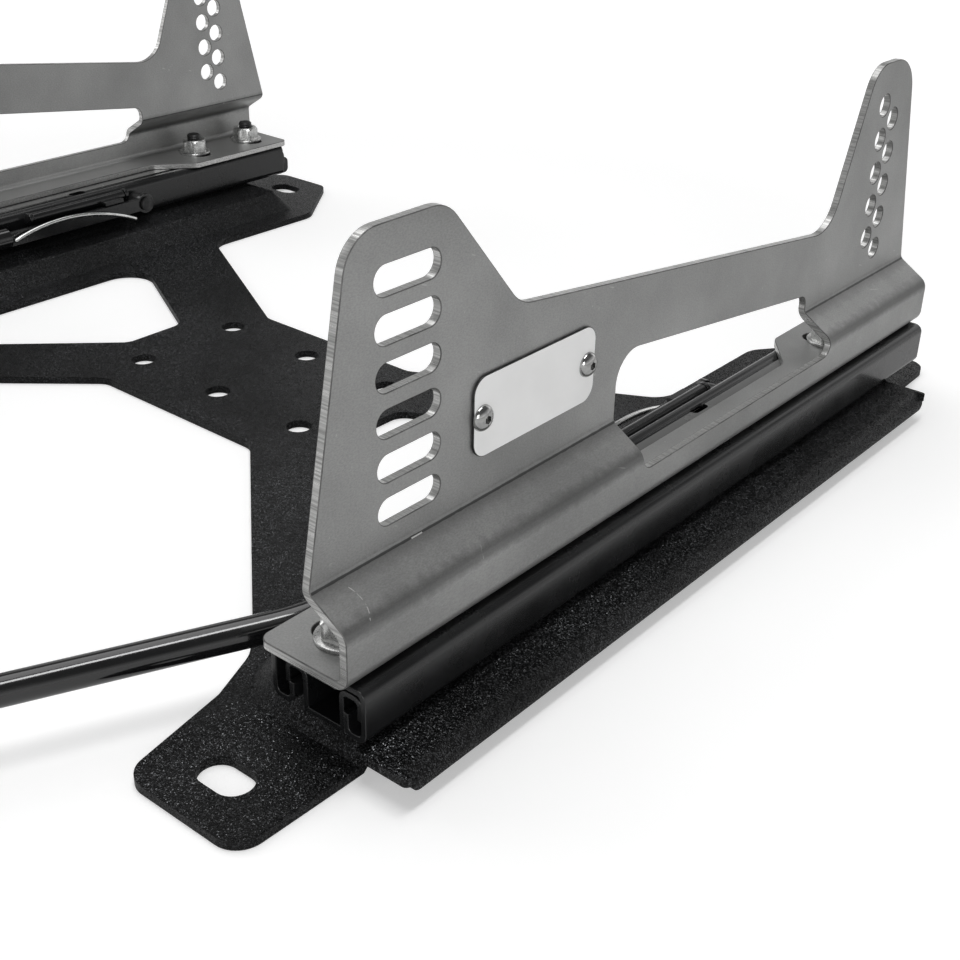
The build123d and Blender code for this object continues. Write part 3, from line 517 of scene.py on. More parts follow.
def build_powder_coat():
    material, tree, shader = finish_of(
        "powder_coat", COAT_BLACK, 0.0, 0.36, Specular_IOR_Level=0.12
    )
    tone = clouds(tree, 14.0, 1500.0)
    grains = add(tree, "ShaderNodeTexVoronoi", {"Scale": 3300.0, "Randomness": 1.0})
    join(tree, object_place(tree), grains.inputs["Vector"])
    own = grains.outputs["Color"]
    centred = vector_step(tree, "SUBTRACT", own, (0.5, 0.5, 0.5))
    lean = vector_step(tree, "SCALE", centred, inputs={"Scale": 0.8})
    edges = add(tree, "ShaderNodeBevel", {"Radius": EDGE_ROUND}, samples=4)
    leaning = vector_step(tree, "ADD", edges.outputs["Normal"], lean)
    join(tree, vector_step(tree, "NORMALIZE", leaning), shader.inputs["Normal"])
    parts = axes_of(tree, own)
    glint = maths(
        tree, "MULTIPLY",
        spread(tree, parts["X"], 0.72, 0.98, 0.0, 0.8),
        spread(tree, tone["Cloud"], 0.38, 0.62, 0.35, 1.0),
    )
    dark = ramp(tree, tone["Grain"], 0.4, 0.7, COAT_DARKEST, COAT_DARK)
    join(tree, mix(tree, glint, dark, GLINT), shader.inputs["Base Color"])
    join(tree, glint, shader.inputs["Metallic"])
    join(tree, spread(tree, parts["Y"], 0.0, 1.0, 0.22, 0.45), shader.inputs["Roughness"])
    return material


COAT = build_powder_coat()
print("finish", COAT.name)

# %% [markdown]
# ## Satin rails and the glossy tube
#
# The rails are smoother than the bracket: a satin black coat with drawn lines too
# faint to see until a lamp runs along them. The release tube is glossier still,
# with one long clear highlight. Both are the same idea at two roughnesses. The top
# of an upper track has a paler band beside its groove, a painted sheen where the flat
# reflects more light.

# %% Satin black and gloss black, lengths in millimetres
RAIL_TOP, GROOVE_X, BAND_END_X = 33.1, 199.9, 204.6
PAINTED_SHEEN = (0.11, 0.111, 0.109, 1.0)


def build_black(name, color, roughness, peel, coat):
    material, tree, shader = finish_of(
        name, color, 0.0, roughness, Coat_Weight=coat, Coat_Roughness=roughness * 0.5
    )
    tone = clouds(tree, 45.0, 900.0, 8.0)
    lighter = tuple(c * 1.7 + 0.001 for c in color)
    tones = ramp(tree, tone["Cloud"], 0.35, 0.75, color, lighter)
    rough = spread(tree, tone["Cloud"], 0.3, 0.7, roughness * 0.85, roughness * 1.3)
    join(tree, tones, shader.inputs["Base Color"])
    join(tree, rough, shader.inputs["Roughness"])
    bump(tree, shader, tone["Grain"], peel, 0.00003)
    return material


SATIN = build_black("satin_black", (0.004, 0.0042, 0.0045), 0.24, 0.2, 0.2)


def build_rail_top_sheen():
    """Satin black with a painted sheen: a paler band beside the groove on an upper track."""
    material = SATIN.copy()
    material.name = "satin_black_paler_top"
    tree = material.node_tree
    shader = next(node for node in tree.nodes if node.type == "BSDF_PRINCIPLED")
    base = shader.inputs["Base Color"]
    axes = axes_of(tree, object_place(tree))
    across = maths(tree, "ABSOLUTE", axes["X"])
    on_top = maths(tree, "GREATER_THAN", axes["Z"], (RAIL_TOP - 0.2) * MM)
    beyond = maths(tree, "GREATER_THAN", across, GROOVE_X * MM)
    within = maths(tree, "LESS_THAN", across, BAND_END_X * MM)
    # The paler band on the top is painted sheen.
    band = maths(tree, "MULTIPLY", maths(tree, "MULTIPLY", beyond, within), on_top)
    old = next(link for link in tree.links if link.to_socket == base).from_socket
    join(tree, mix(tree, band, old, PAINTED_SHEEN), base)
    return material


RAIL_TOP_SHEEN_BLACK = build_rail_top_sheen()
GLOSS = build_black("gloss_black", (0.003, 0.0031, 0.0034), 0.14, 0.6, 0.7)
print("finishes", SATIN.name, GLOSS.name)

# %% [markdown]
# ## Small metals and plastics
#
# The nuts and nearly all small parts differ only in tone, roughness and grain, so
# one recipe with different numbers makes them: zinc plate is pale and blotchy,
# black oxide is dark and dry, the screw heads and balls are polished, and the
# plastic glides have a fine moulded skin.

# %% Small finishes
def build_small(name, dark, light, metallic, rough, sizes, depth, stretch=1.0):
    """A finish from two tones, a range of roughness and the sizes of cloud and grain."""
    middle = tuple((a + b) / 2 for a, b in zip(dark, light))
    material, tree, shader = finish_of(name, middle, metallic, rough[0])
    tone = clouds(tree, *sizes, stretch)
    join(tree, ramp(tree, tone["Cloud"], 0.35, 0.68, dark, light), shader.inputs["Base Color"])
    join(tree, spread(tree, tone["Grain"], 0.3, 0.7, *rough), shader.inputs["Roughness"])
    bump(tree, shader, tone["Grain"], depth, 0.00004)
    return material


ZINC = build_small(
    "zinc_plate", (0.5, 0.505, 0.5), (0.74, 0.74, 0.73), 1.0, (0.2, 0.38), (260.0, 1600.0), 0.2
)
OXIDE = build_small(
    "black_oxide", (0.018, 0.018, 0.019), (0.06, 0.06, 0.06), 0.6, (0.32, 0.5),
    (300.0, 2000.0), 0.25,
)
STAINLESS = build_small(
    "polished_stainless", (0.34, 0.34, 0.34), (0.5, 0.5, 0.49), 1.0, (0.08, 0.2),
    (400.0, 2500.0), 0.1,
)
WIRE = build_small(
    "galvanised_wire", (0.62, 0.63, 0.62), (0.85, 0.85, 0.84), 1.0, (0.15, 0.3),
    (200.0, 2000.0), 0.15, 12.0,
)
BALL_STEEL = build_small(
    "ball_steel", (0.6, 0.6, 0.6), (0.72, 0.72, 0.72), 1.0, (0.05, 0.12), (500.0, 3000.0), 0.05
)
GLIDE = build_small(
    "black_nylon", (0.012, 0.012, 0.013), (0.035, 0.035, 0.036), 0.0, (0.4, 0.6),
    (220.0, 2600.0), 0.4,
)
CAGE = build_small(
    "natural_nylon", (0.6, 0.58, 0.52), (0.74, 0.72, 0.66), 0.0, (0.4, 0.55),
    (180.0, 2600.0), 0.3,
)
BADGE = build_small(
    "bare_badge", (0.9, 0.9, 0.895), (0.94, 0.94, 0.935), 0.1, (0.4, 0.5),
    (60.0, 2600.0), 0.15, 40.0,
)
print("small finishes", 8)

# %% [markdown]
# ## Softening a CAD piece
#
# CAD edges are perfectly sharp, but a lamp never finds a perfectly sharp edge on a
# real one. Each sheet or profile below is a copy of its CAD node with its loose
# triangles merged, its flat areas joined, and its sharp edges rounded by a Bevel
# modifier. Weighted normals keep the flats flat. The copy then stands for the node,
# which stays as it is for the physics.

# %% Soften
SAME_POINT = 0.000002
SAME_FLAT = math.radians(0.4)


def in_scene(name, data):
    """A new object in the scene."""
    made = bpy.data.objects.new(name, data)
    bpy.context.collection.objects.link(made)
    return made


def smooth(mesh):
    """Shades every face of a mesh smooth."""
    for polygon in mesh.polygons:
        polygon.use_smooth = True


def triangles(mesh):
    """How many triangles a mesh has."""
    return sum(len(polygon.vertices) - 2 for polygon in mesh.polygons)


def piece_from(mesh, name, node, body):
    """Puts a finished mesh in the scene as the piece that stands for a node."""
    piece = in_scene(name, mesh)
    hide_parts(node)
    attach(piece, body)
    return piece


def settled(piece):
    """A piece's mesh with its modifiers applied; the piece itself is removed."""
    graph = bpy.context.evaluated_depsgraph_get()
    mesh = bpy.data.meshes.new_from_object(piece.evaluated_get(graph))
    bpy.data.objects.remove(piece)
    return mesh


def merged_copy(node):
    """A node's mesh with its triangles merged and its flats joined."""
    work = bmesh.new()
    work.from_mesh(NODES[node].data)
    bmesh.ops.remove_doubles(work, verts=work.verts, dist=SAME_POINT)
    bmesh.ops.dissolve_limit(work, angle_limit=SAME_FLAT, verts=work.verts, edges=work.edges)
    return work


def soften(
    node, body, finishes, width, segments=2,
    choose=None, rim=-1, shape=None, sharpest=32,
):
    """Copies a node, rounds its edges and gives each face its finish.

    `shape` may change the copy, `choose` picks each face's finish, `rim` is the
    finish of the rounded edges, and an edge turns by at least `sharpest` degrees.
    """
    work = merged_copy(node)
    if shape:
        shape(work)
    if choose:
        for face in work.faces:
            face.material_index = choose(face)
    mesh = bpy.data.meshes.new(node + "_softened")
    work.to_mesh(mesh)
    work.free()
    smooth(mesh)
    for finish in finishes:
        mesh.materials.append(finish)
    rough = in_scene(node + "_rough", mesh)
    rounding = rough.modifiers.new("rounding", "BEVEL")
    rounding.width = width
    rounding.segments = segments
    rounding.limit_method = "ANGLE"
    rounding.angle_limit = math.radians(sharpest)
    rounding.use_clamp_overlap = False
    rounding.loop_slide = False
    rounding.material = rim
    weights = rough.modifiers.new("weights", "WEIGHTED_NORMAL")
    weights.keep_sharp = True
    done = settled(rough)
    done.name = node + "_finished"
    piece_from(done, node + "_piece", node, body)
    print(node, "triangles", triangles(done))


print("soften ready")

# %% [markdown]
# ## The side mounts
#
# Each is one folded sheet. Its flat faces are rolled steel and its outline, slots
# and holes are cut edges, so each face of the mesh needs to know which it is. The
# sheet folds only about Y. Above the foot, a face that looks along X or slopes is
# sheet, and any other is a cut. In the foot flange, which lies flat, a face that
# looks up or down is sheet. The bevel's own faces become the burnt rim.

# %% Side mounts
LOW_WEB_INSIDE = 223.75 * MM
FLANGE_TOP = 36.1 * MM
FOLD_ROOM = 4 * MM
SHEET, CUT, RIM = 0, 1, 2
MOUNT_EDGE = 0.00028


def sheet_or_cut(face):
    """SHEET for a face of the sheet, CUT for a face made by the cutter."""
    normal = face.normal
    centre = face.calc_center_median()
    if abs(normal.y) > 0.5:
        return CUT
    if centre.z > FLANGE_TOP + FOLD_ROOM:
        return CUT if abs(normal.x) < 0.3 else SHEET
    if abs(centre.x) < LOW_WEB_INSIDE - FOLD_ROOM:
        return CUT if abs(normal.z) < 0.5 else SHEET
    return SHEET


for side in ("right", "left"):
    soften(
        "side_mount_" + side, "carriage", [STEEL, CUT_EDGE, BURNT_RIM],
        MOUNT_EDGE, choose=sheet_or_cut, rim=RIM,
    )

# %% [markdown]
# ## Rails, latch parts, badge and glides
#
# The drawn rails and the punched latch parts have crisp edges with a very small
# round. The top of an upper track has a rolled shoulder along its inner edge, with
# a groove beside it. Planes cut the copy along those lines, and the cut points sink
# by the depths of the table. The badge's face is bare, and its edges are dark:
# painted shade round the badge's outline.

# %% Rails, latch parts, badge and glides
# Depth below the rail's top at each distance from the middle, in millimetres.
SHOULDER_DEPTHS = {
    194.0: 0.3, 195.0: 0.08, 196.0: 0.0, 197.2: 0.1, 198.2: 0.35, 199.1: 0.85, 199.9: 0.0,
}
RAIL_EDGE, BADGE_EDGE, GLIDE_EDGE = 0.0003, 0.00025, 0.0004
ON_TOP, ON_LINE, ON_PLANE = 0.05 * MM, 0.0001, 0.00001


def roll_shoulder(work):
    """Sinks the roll and its groove into the top of an upper track's copy."""
    for x in SHOULDER_DEPTHS:
        for side in (1, -1):
            bmesh.ops.bisect_plane(
                work, geom=work.verts[:] + work.edges[:] + work.faces[:],
                plane_co=(side * x * MM, 0, 0), plane_no=(1, 0, 0), dist=ON_PLANE,
            )
    for vert in work.verts:
        for x, depth in SHOULDER_DEPTHS.items():
            on_top = vert.co.z > RAIL_TOP * MM - ON_TOP
            if on_top and abs(abs(vert.co.x) - x * MM) < ON_LINE:
                vert.co.z -= depth * MM


def face_or_edge(face):
    """0 for the badge's two faces, 1 for its edges."""
    return int(abs(face.normal.x) < 0.5)


for side in ("right", "left"):
    soften("lower_track_" + side, "base", [SATIN], RAIL_EDGE)
    soften(
        "upper_track_" + side, "carriage", [RAIL_TOP_SHEEN_BLACK], RAIL_EDGE,
        shape=roll_shoulder, sharpest=80,
    )
    soften("latch_lever_" + side, "release", [SATIN], RAIL_EDGE)
    soften("lock_plate_" + side, "lock_" + side, [SATIN], RAIL_EDGE)
# The badge's edges take the dark oxide finish as painted shade round its outline.
soften("badge_plate", "carriage", [BADGE, OXIDE], BADGE_EDGE, 3, face_or_edge, 1)
soften("lip_glides", "carriage", [GLIDE], GLIDE_EDGE, 3)

# %% [markdown]
# ## Geometry Nodes: the release tube
#
# A bent tube is a circle carried along a path, so a node tree can make it from a
# few sizes: the straight path's corners are rounded with Fillet Curve, each by its
# own radius, and Curve to Mesh carries the circle along it. Solidify then gives it
# the wall that shows at its open ends. Modelling it by hand would fix the sizes;
# the tree lets a reader change them.

# %% Node tree helpers
def geometry_tree(name, inputs):
    """A geometry node tree with a geometry input, named inputs and one output."""
    tree = bpy.data.node_groups.new(name, "GeometryNodeTree")
    sockets = tree.interface
    sockets.new_socket("Geometry", in_out="INPUT", socket_type="NodeSocketGeometry")
    for label, (kind, value) in inputs.items():
        socket = sockets.new_socket(label, in_out="INPUT", socket_type="NodeSocket" + kind)
        if value is not None:
            socket.default_value = value
    sockets.new_socket("Geometry", in_out="OUTPUT", socket_type="NodeSocketGeometry")
    return tree, tree.nodes.new("NodeGroupInput"), tree.nodes.new("NodeGroupOutput")


def end_tree(tree, geometry, inside, outside):
    """Ends a tree: its instances become real and take the finish."""
    real = add(tree, "GeometryNodeRealizeInstances")
    join(tree, geometry, real.inputs["Geometry"])
    coat = add(tree, "GeometryNodeSetMaterial")
    join(tree, real.outputs["Geometry"], coat.inputs["Geometry"])
    join(tree, inside.outputs["Finish"], coat.inputs["Material"])
    join(tree, coat.outputs["Geometry"], outside.inputs["Geometry"])


def run_tree(name, tree, values, mesh=None):
    """Runs a tree on an object and returns the result as a plain mesh."""
    carrier = in_scene(name + "_carrier", mesh or bpy.data.meshes.new(name + "_start"))
    modifier = carrier.modifiers.new(name, "NODES")
    modifier.node_group = tree
    for item in tree.interface.items_tree:
        is_input = item.item_type == "SOCKET" and item.in_out == "INPUT"
        if is_input and item.name in values:
            modifier[item.identifier] = values[item.name]
    made = settled(carrier)
    made.name = name
    print(name, "triangles", triangles(made))
    return made


print("tree helpers ready")

# %% The tube's tree
def build_tube_tree():
    sizes = {
        "Outer Diameter": ("Float", 0.0098),
        "Sides": ("Int", 72),
        "Corner Steps": ("Int", 16),
        "Finish": ("Material", None),
    }
    tree, inside, outside = geometry_tree("tube_along_path", sizes)
    path = add(tree, "GeometryNodeMeshToCurve")
    join(tree, inside.outputs["Geometry"], path.inputs["Mesh"])
    radius = add(
        tree, "GeometryNodeInputNamedAttribute", {"Name": "bend_radius"}, data_type="FLOAT"
    )
    fillet = add(tree, "GeometryNodeFilletCurve", {"Limit Radius": False}, mode="POLY")
    join(tree, path.outputs["Curve"], fillet.inputs["Curve"])
    join(tree, inside.outputs["Corner Steps"], fillet.inputs["Count"])
    join(tree, radius.outputs["Attribute"], fillet.inputs["Radius"])
    ring = add(tree, "GeometryNodeCurvePrimitiveCircle", mode="RADIUS")
    ring_radius = maths(tree, "MULTIPLY", inside.outputs["Outer Diameter"], 0.5)
    join(tree, inside.outputs["Sides"], ring.inputs["Resolution"])
    join(tree, ring_radius, ring.inputs["Radius"])
    skin = add(tree, "GeometryNodeCurveToMesh")
    join(tree, fillet.outputs["Curve"], skin.inputs["Curve"])
    join(tree, ring.outputs["Curve"], skin.inputs["Profile Curve"])
    end_tree(tree, skin.outputs["Mesh"], inside, outside)
    return tree


TUBE_TREE = build_tube_tree()
print("tree", TUBE_TREE.name)

# %% The release bar, lengths in millimetres
# Y starts at the front end of the front seat slots, this far before the middle.
MIDDLE_Y = 105.55
LEG_X, LEG_END, KNEE_Y, CROSSBAR_Y, TUBE_Z = 183.0, 139.0, 0.8, -150.0, 25.3
KNEE_ANGLE = math.radians(25.3)
CORNER_X = LEG_X - (KNEE_Y - CROSSBAR_Y) * math.tan(KNEE_ANGLE)
HALF_RADII = [0, 60, 42]
TUBE_WALL = 1.5
CREASE = math.radians(40)


def path_mesh(points, radii):
    """A polyline with a bend radius at each point."""
    mesh = bpy.data.meshes.new("path")
    places = [(x * MM, (y - MIDDLE_Y) * MM, z * MM) for x, y, z in points]
    mesh.from_pydata(places, [(i, i + 1) for i in range(len(points) - 1)], [])
    bends = mesh.attributes.new("bend_radius", "FLOAT", "POINT")
    bends.data.foreach_set("value", [r * MM for r in radii])
    return mesh


half = [(LEG_X, LEG_END, TUBE_Z), (LEG_X, KNEE_Y, TUBE_Z), (CORNER_X, CROSSBAR_Y, TUBE_Z)]
route = half + [(-x, y, z) for x, y, z in reversed(half)]
path = path_mesh(route, HALF_RADII + HALF_RADII[::-1])
tube = run_tree("release_tube", TUBE_TREE, {"Finish": GLOSS}, path)
smooth(tube)
shell = in_scene("tube_shell", tube)
wall = shell.modifiers.new("wall", "SOLIDIFY")
wall.thickness = TUBE_WALL * MM
wall.offset = -1.0
tube_mesh = settled(shell)
tube_mesh.set_sharp_from_angle(angle=CREASE)
piece_from(tube_mesh, "release_bar_piece", "release_bar", "release")

# %% [markdown]
# ## Geometry Nodes: eight seats
#
# Nuts and studs stand on the same eight places: two pairs on each rail, one pair
# under the front arm and one under the rear. One tree makes the places, two by two
# by two, and sets any object on each. The real nuts were tightened by hand, so
# each stops at another angle; a seeded random turn does that.

# %% The seats' tree
def vector_along(tree, axis, length):
    """A vector of a given length along one axis."""
    vector = add(tree, "ShaderNodeCombineXYZ")
    join(tree, length, vector.inputs[axis])
    return vector


def two_points(tree, axis, apart):
    """Two points, one step apart along an axis."""
    line = add(tree, "GeometryNodeMeshLine", {"Count": 2})
    join(tree, vector_along(tree, axis, apart).outputs[0], line.inputs["Offset"])
    return line


def on_points(tree, points, instance):
    """Sets one shape on each point."""
    placed = add(tree, "GeometryNodeInstanceOnPoints")
    join(tree, points, placed.inputs["Points"])
    join(tree, instance, placed.inputs["Instance"])
    return placed


def build_seats_tree():
    sizes = {
        "Part": ("Object", None),
        "First Y": ("Float", -0.11655),
        "Pair Pitch": ("Float", 0.04),
        "Pairs Apart": ("Float", 0.296),
        "Seat X": ("Float", 0.209),
        "Turn": ("Float", 0.0),
        "Seed": ("Int", 4),
        "Finish": ("Material", None),
    }
    tree, inside, outside = geometry_tree("parts_on_seats", sizes)
    size = inside.outputs
    pair = two_points(tree, "Y", size["Pair Pitch"])
    pairs = two_points(tree, "Y", size["Pairs Apart"])
    rails = two_points(tree, "X", maths(tree, "MULTIPLY", size["Seat X"], 2.0))
    start = vector_along(tree, "X", maths(tree, "MULTIPLY", size["Seat X"], -1.0))
    join(tree, size["First Y"], start.inputs["Y"])
    join(tree, start.outputs[0], rails.inputs["Start Location"])
    row = on_points(tree, pairs.outputs["Mesh"], pair.outputs["Mesh"])
    both = on_points(tree, rails.outputs["Mesh"], row.outputs["Instances"])
    seats = add(tree, "GeometryNodeRealizeInstances")
    join(tree, both.outputs["Instances"], seats.inputs["Geometry"])
    part = add(tree, "GeometryNodeObjectInfo", {"As Instance": True})
    join(tree, size["Part"], part.inputs["Object"])
    chance = add(tree, "FunctionNodeRandomValue", data_type="FLOAT")
    join(tree, size["Seed"], chance.inputs["Seed"])
    join(tree, size["Turn"], chance.inputs[3])
    spin = vector_along(tree, "Z", chance.outputs[1])
    turned = add(tree, "FunctionNodeEulerToRotation")
    join(tree, spin.outputs[0], turned.inputs[0])
    placed = on_points(tree, seats.outputs["Geometry"], part.outputs["Geometry"])
    join(tree, turned.outputs[0], placed.inputs["Rotation"])
    end_tree(tree, placed.outputs["Instances"], inside, outside)
    return tree


SEATS_TREE = build_seats_tree()
print("tree", SEATS_TREE.name)

# %% [markdown]
# ## One nut and one stud
#
# A flange nut is turned: a profile spun round its axis makes the flange, and the
# hexagon above it is six flats cut into a chamfered blank. The thread on the stud
# is a ridge that climbs one pitch a turn. Rows of points that climb as they go
# round make a true helix that meets itself at every turn.

# %% Lathe and thread, lengths in millimetres
THREAD_ROWS, TIP = 4, 0.8
CLOSED = 0.0000005
SIXTH = math.pi / 3


def spun(radius, angle, z):
    """A point at a radius, an angle and a height, in metres."""
    return (radius * MM * math.cos(angle), radius * MM * math.sin(angle), z * MM)


def angle_of(k, steps):
    """The angle of one step of a whole turn."""
    return 2 * math.pi * k / steps


def to_flat(half_width, angle):
    """How far a hexagon reaches at an angle."""
    return half_width / math.cos((angle + SIXTH / 2) % SIXTH - SIXTH / 2)


def skin(work, rings):
    """Joins each ring of points to the next with faces."""
    for here, there in zip(rings, rings[1:]):
        for k in range(len(here)):
            n = (k + 1) % len(here)
            work.faces.new((here[k], here[n], there[n], there[k]))


def turned_shape(profile, steps):
    """Spins (radius, height) points into a closed shape."""
    work = bmesh.new()
    rings = []
    for k in range(steps):
        angle = angle_of(k, steps)
        rings.append([work.verts.new(spun(r, angle, z)) for r, z in profile])
    for k in range(steps):
        here, there = rings[k], rings[(k + 1) % steps]
        for j in range(len(profile)):
            i = (j + 1) % len(profile)
            work.faces.new((here[j], there[j], there[i], here[i]))
    bmesh.ops.remove_doubles(work, verts=work.verts, dist=CLOSED)
    bmesh.ops.recalc_face_normals(work, faces=work.faces)
    return work


def threaded_rod(radius, depth, pitch, low, high, steps=28):
    """A rod whose surface climbs in a helix between two heights."""
    work = bmesh.new()
    rows = int((high - low) / pitch * THREAD_ROWS)
    grid = []
    for j in range(rows + 1):
        z = low + (high - low) * j / rows
        ring = []
        for k in range(steps):
            climb = (z / pitch - k / steps) % 1.0
            cut = depth * (1.0 - abs(2 * climb - 1.0))
            tip = min(1.0, (high - z) / TIP)
            r = min(radius - cut, radius - TIP + TIP * tip)
            ring.append(work.verts.new(spun(r, angle_of(k, steps), z)))
        grid.append(ring)
    skin(work, grid)
    work.faces.new(list(reversed(grid[0])))
    work.faces.new(grid[-1])
    return work


def smooth_mesh(work, name):
    """A bmesh as a mesh, smooth up to 30 degrees."""
    mesh = bpy.data.meshes.new(name)
    work.to_mesh(mesh)
    work.free()
    smooth(mesh)
    mesh.set_sharp_from_angle(angle=math.radians(30))
    return mesh


def set_on_seats(work, part_name, node, turn, finish):
    """Sets a shape on the eight seats as the piece that stands for a node."""
    part = in_scene(part_name, smooth_mesh(work, part_name))
    values = {"Part": part, "Turn": turn, "Finish": finish}
    made = run_tree(node + "_set", SEATS_TREE, values)
    piece_from(made, node + "_piece", node, "carriage")
    bpy.data.objects.remove(part)


print("lathe ready")

# %% Nuts, lengths in millimetres
NUT_SEAT, NUT_FLATS, NUT_STEPS = 36.1, 13.0, 96
NUT_HEIGHTS = (1.2, 6.9, 7.6, 8.0)
CORNER_REACH, CHAMFER_START, CHAMFER_SLOPE = 1.125, 6.9, 1.15
FLANGE = (
    (4.05, 0.0), (8.7, 0.0), (8.9, 0.2), (8.9, 1.0), (8.75, 1.2),
    (8.5, 1.3), (7.2, 1.45), (6.3, 1.7), (4.05, 1.7),
)
BORE = ((4.6, 8.0), (4.05, 7.4), (3.95, 1.2))


def flange_nut():
    """Flange and hexagon of one nut, standing on the foot of a mount."""
    work = turned_shape([(r, z + NUT_SEAT) for r, z in FLANGE], 64)
    angles = [angle_of(k, NUT_STEPS) for k in range(NUT_STEPS)]
    half_flats = NUT_FLATS / 2
    rings = []
    for height in NUT_HEIGHTS:
        cut = max(0.0, height - CHAMFER_START) * CHAMFER_SLOPE
        blank = half_flats * CORNER_REACH - cut
        reaches = [min(to_flat(half_flats, angle), blank) for angle in angles]
        rings.append([
            work.verts.new(spun(r, angle, height + NUT_SEAT))
            for r, angle in zip(reaches, angles)
        ])
    for radius, height in BORE:
        rings.append([work.verts.new(spun(radius, angle, height + NUT_SEAT)) for angle in angles])
    skin(work, rings + rings[:1])
    return work


set_on_seats(flange_nut(), "one_nut", "flange_nuts", 1.04, ZINC)

# %% Studs, lengths in millimetres
HEAD = (
    (0.02, 29.3), (5.5, 29.3), (5.8, 29.6), (5.8, 31.1),
    (4.0, 31.1), (4.0, 33.3), (0.02, 33.3),
)


def stud():
    """One stud: a thin pressed head inside the rail and a threaded end above it."""
    work = threaded_rod(radius=4.0, depth=0.55, pitch=1.25, low=33.1, high=47.0)
    head = turned_shape(HEAD, 40)
    lump = bpy.data.meshes.new("head")
    head.to_mesh(lump)
    head.free()
    work.from_mesh(lump)
    bpy.data.meshes.remove(lump)
    return work


set_on_seats(stud(), "one_stud", "mount_studs", 6.28, OXIDE)

# %% [markdown]
# ## Dome-headed badge screws
#
# The two screws of the badge have high polished domes with a six-sided socket. A
# dome is rings of points whose radius and height follow a quarter of an ellipse;
# the rings inside it follow a hexagon and go down for the socket. Each screw's axis
# lies along X.

# %% Badge screws, lengths in millimetres
# Y starts where the release bar's does.
WEB_FACE, BADGE_MIDDLE, BADGE_HEIGHT, SCREW_HALF_PITCH = 213.0, 70.2, 88.25, 26.3
BADGE_FACE = WEB_FACE + 0.9
DOME_RADIUS, DOME_HEIGHT, DOME_ROWS, DOME_TOP = 4.25, 2.55, 9, 68
SCREW_STEPS = 60
# Whether the ring is six-sided, its radius, and where it lies along X.
SOCKET_ROWS = [(True, 0.02, BADGE_FACE + 1.0), (True, 1.2, BADGE_FACE + 1.0)]
SOCKET_ROWS += [(True, 1.25, BADGE_FACE + 2.3)]
SHANK_ROWS = [(False, DOME_RADIUS, BADGE_FACE), (False, 2.0, BADGE_FACE)]
SHANK_ROWS += [(False, 2.0, WEB_FACE - 3.0), (False, 0.02, WEB_FACE - 3.0)]


def dome_screw(work, y):
    """One dome-head screw that stands out of the badge at a place along Y."""
    dome_rows = []
    for k in range(DOME_ROWS):
        lift = math.radians(DOME_TOP - k * DOME_TOP / (DOME_ROWS - 1))
        height = BADGE_FACE + DOME_HEIGHT * math.sin(lift)
        dome_rows.append((False, DOME_RADIUS * math.cos(lift), height))
    rings = []
    for six_sided, radius, x in SOCKET_ROWS + dome_rows + SHANK_ROWS:
        ring = []
        for k in range(SCREW_STEPS):
            angle = angle_of(k, SCREW_STEPS)
            reach = to_flat(radius, angle) if six_sided else radius
            across = (y - MIDDLE_Y + reach * math.cos(angle)) * MM
            above = (BADGE_HEIGHT + reach * math.sin(angle)) * MM
            ring.append(work.verts.new((x * MM, across, above)))
        rings.append(ring)
    skin(work, rings)
    work.faces.new(rings[0])
    work.faces.new(rings[-1])


pair = bmesh.new()
for y in (BADGE_MIDDLE - SCREW_HALF_PITCH, BADGE_MIDDLE + SCREW_HALF_PITCH):
    dome_screw(pair, y)
bmesh.ops.recalc_face_normals(pair, faces=pair.faces)
screws = smooth_mesh(pair, "dome_screws")
screws.materials.append(STAINLESS)
piece_from(screws, "badge_screws_piece", "badge_screws", "carriage")

# %% [markdown]
# ## Parts that keep their CAD shape
#
# The rest are right as they are, so they only get their finish: each CAD object's
# material slots are filled with the new material.

# %% Repaint CAD nodes
REPAINT = {
    "floor_bracket": COAT,
    "track_screws": OXIDE,
    "track_nuts": ZINC,
    "pivot_pins": OXIDE,
    "lock_pins": OXIDE,
    "balls_right": BALL_STEEL,
    "balls_left": BALL_STEEL,
    "ball_cages_right": CAGE,
    "ball_cages_left": CAGE,
    "spring_wire_right": WIRE,
    "spring_wire_left": WIRE,
}
for name, finish in REPAINT.items():
    for place in NODES[name].material_slots:
        place.material = finish
print("repainted", len(REPAINT))

# %% [markdown]
# ## Floor, backdrop and light
#
# The picture has a white studio sweep with a faint shadow to the right. The floor
# is white, and it adds a little of its own light only for rays from the camera, so
# that it reads as white while it still keeps the shadow. It adds more of it further
# away, where less of the lamps' light arrives. The world does the same for what
# lies beyond the floor, and for other rays it is a bright wall all round under a
# dimmer ceiling. One large lamp high on the left gives the shadow, a long narrow
# one overhead draws the thin highlight along the tube, and three soft ones from the
# left, behind and the front fill in.

# %% Studio
FLOOR_SIZE, FLOOR_Z = 30, -0.0002


def seen_by_camera(tree):
    """1 for rays from the camera, also through glass, and 0 for all others."""
    rays = add(tree, "ShaderNodeLightPath").outputs
    return maths(tree, "MAXIMUM", rays["Is Camera Ray"], rays["Is Transmission Ray"])


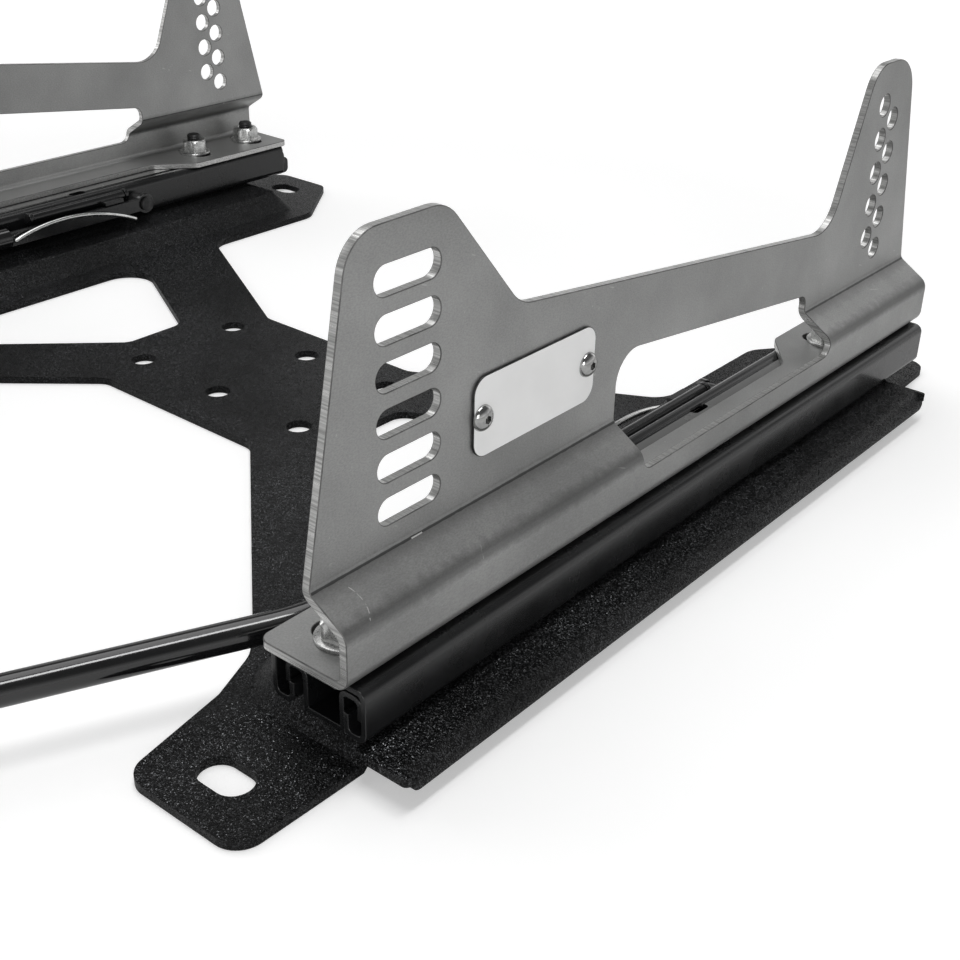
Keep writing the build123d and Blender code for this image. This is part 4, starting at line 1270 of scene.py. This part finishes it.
def build_floor_finish():
    material, tree, shader = finish_of("studio_floor", (0.82, 0.82, 0.82), 0.0, 0.9)
    away = add(tree, "ShaderNodeVectorMath", operation="LENGTH")
    join(tree, object_place(tree), away.inputs[0])
    lift = spread(tree, away.outputs["Value"], 0.45, 1.5, 0.325, 0.76)
    own_light = maths(tree, "MULTIPLY", seen_by_camera(tree), lift)
    join(tree, own_light, shader.inputs["Emission Strength"])
    shader.inputs["Emission Color"].default_value = WHITE
    return material


bpy.ops.mesh.primitive_plane_add(size=FLOOR_SIZE, location=(0, 0, FLOOR_Z))
floor = bpy.context.active_object
floor.name = "studio_floor"
floor.data.materials.append(build_floor_finish())

world = bpy.data.worlds.new("studio")
bpy.context.scene.world = world
world.use_nodes = True
sky = world.node_tree
sky.nodes.clear()
around = add(sky, "ShaderNodeTexCoord").outputs["Generated"]
wall_light = spread(sky, axes_of(sky, around)["Z"], 0.08, 0.5, 0.85, 0.15)
shine = add(sky, "ShaderNodeBackground", {"Color": WHITE})
join(sky, maths(sky, "MAXIMUM", wall_light, seen_by_camera(sky)), shine.inputs["Strength"])
out = add(sky, "ShaderNodeOutputWorld")
join(sky, shine.outputs[0], out.inputs["Surface"])

# %% Lamps
# Name, place, the point it looks at, width, length and power in watts.
LAMPS = (
    ("high_left", (-0.6, 0.4, 1.9), (0, 0, 0), 1.5, 1.5, 12),
    ("overhead", (0.35, -0.12, 1.42), (0.35, -0.12, 0.0), 0.26, 0.85, 7),
    ("left_fill", (-2.0, -0.6, 1.2), (0, 0, 0.05), 1.2, 1.2, 8),
    ("back_rim", (0.2, 2.2, 0.9), (0, 0, 0.05), 1.4, 1.4, 4),
    ("front_fill", (1.3, -1.3, 0.7), (0.2, 0, 0.05), 0.8, 0.8, 8),
)
for name, place, target, width, length, power in LAMPS:
    data = bpy.data.lights.new(name, "AREA")
    data.shape = "RECTANGLE"
    data.energy = power
    data.size = width
    data.size_y = length
    item = in_scene(name, data)
    item.location = place
    looks = Vector(target) - Vector(place)
    item.rotation_euler = looks.to_track_quat("-Z", "Y").to_euler()
print("lamps", len(LAMPS))

# %% [markdown]
# ## The end
#
# The scene is shown through the Standard view transform. The dressed model must keep
# the CAD model's size.

# %% Finish
bpy.context.view_layer.update()
scene = bpy.context.scene
scene.view_settings.view_transform = "Standard"
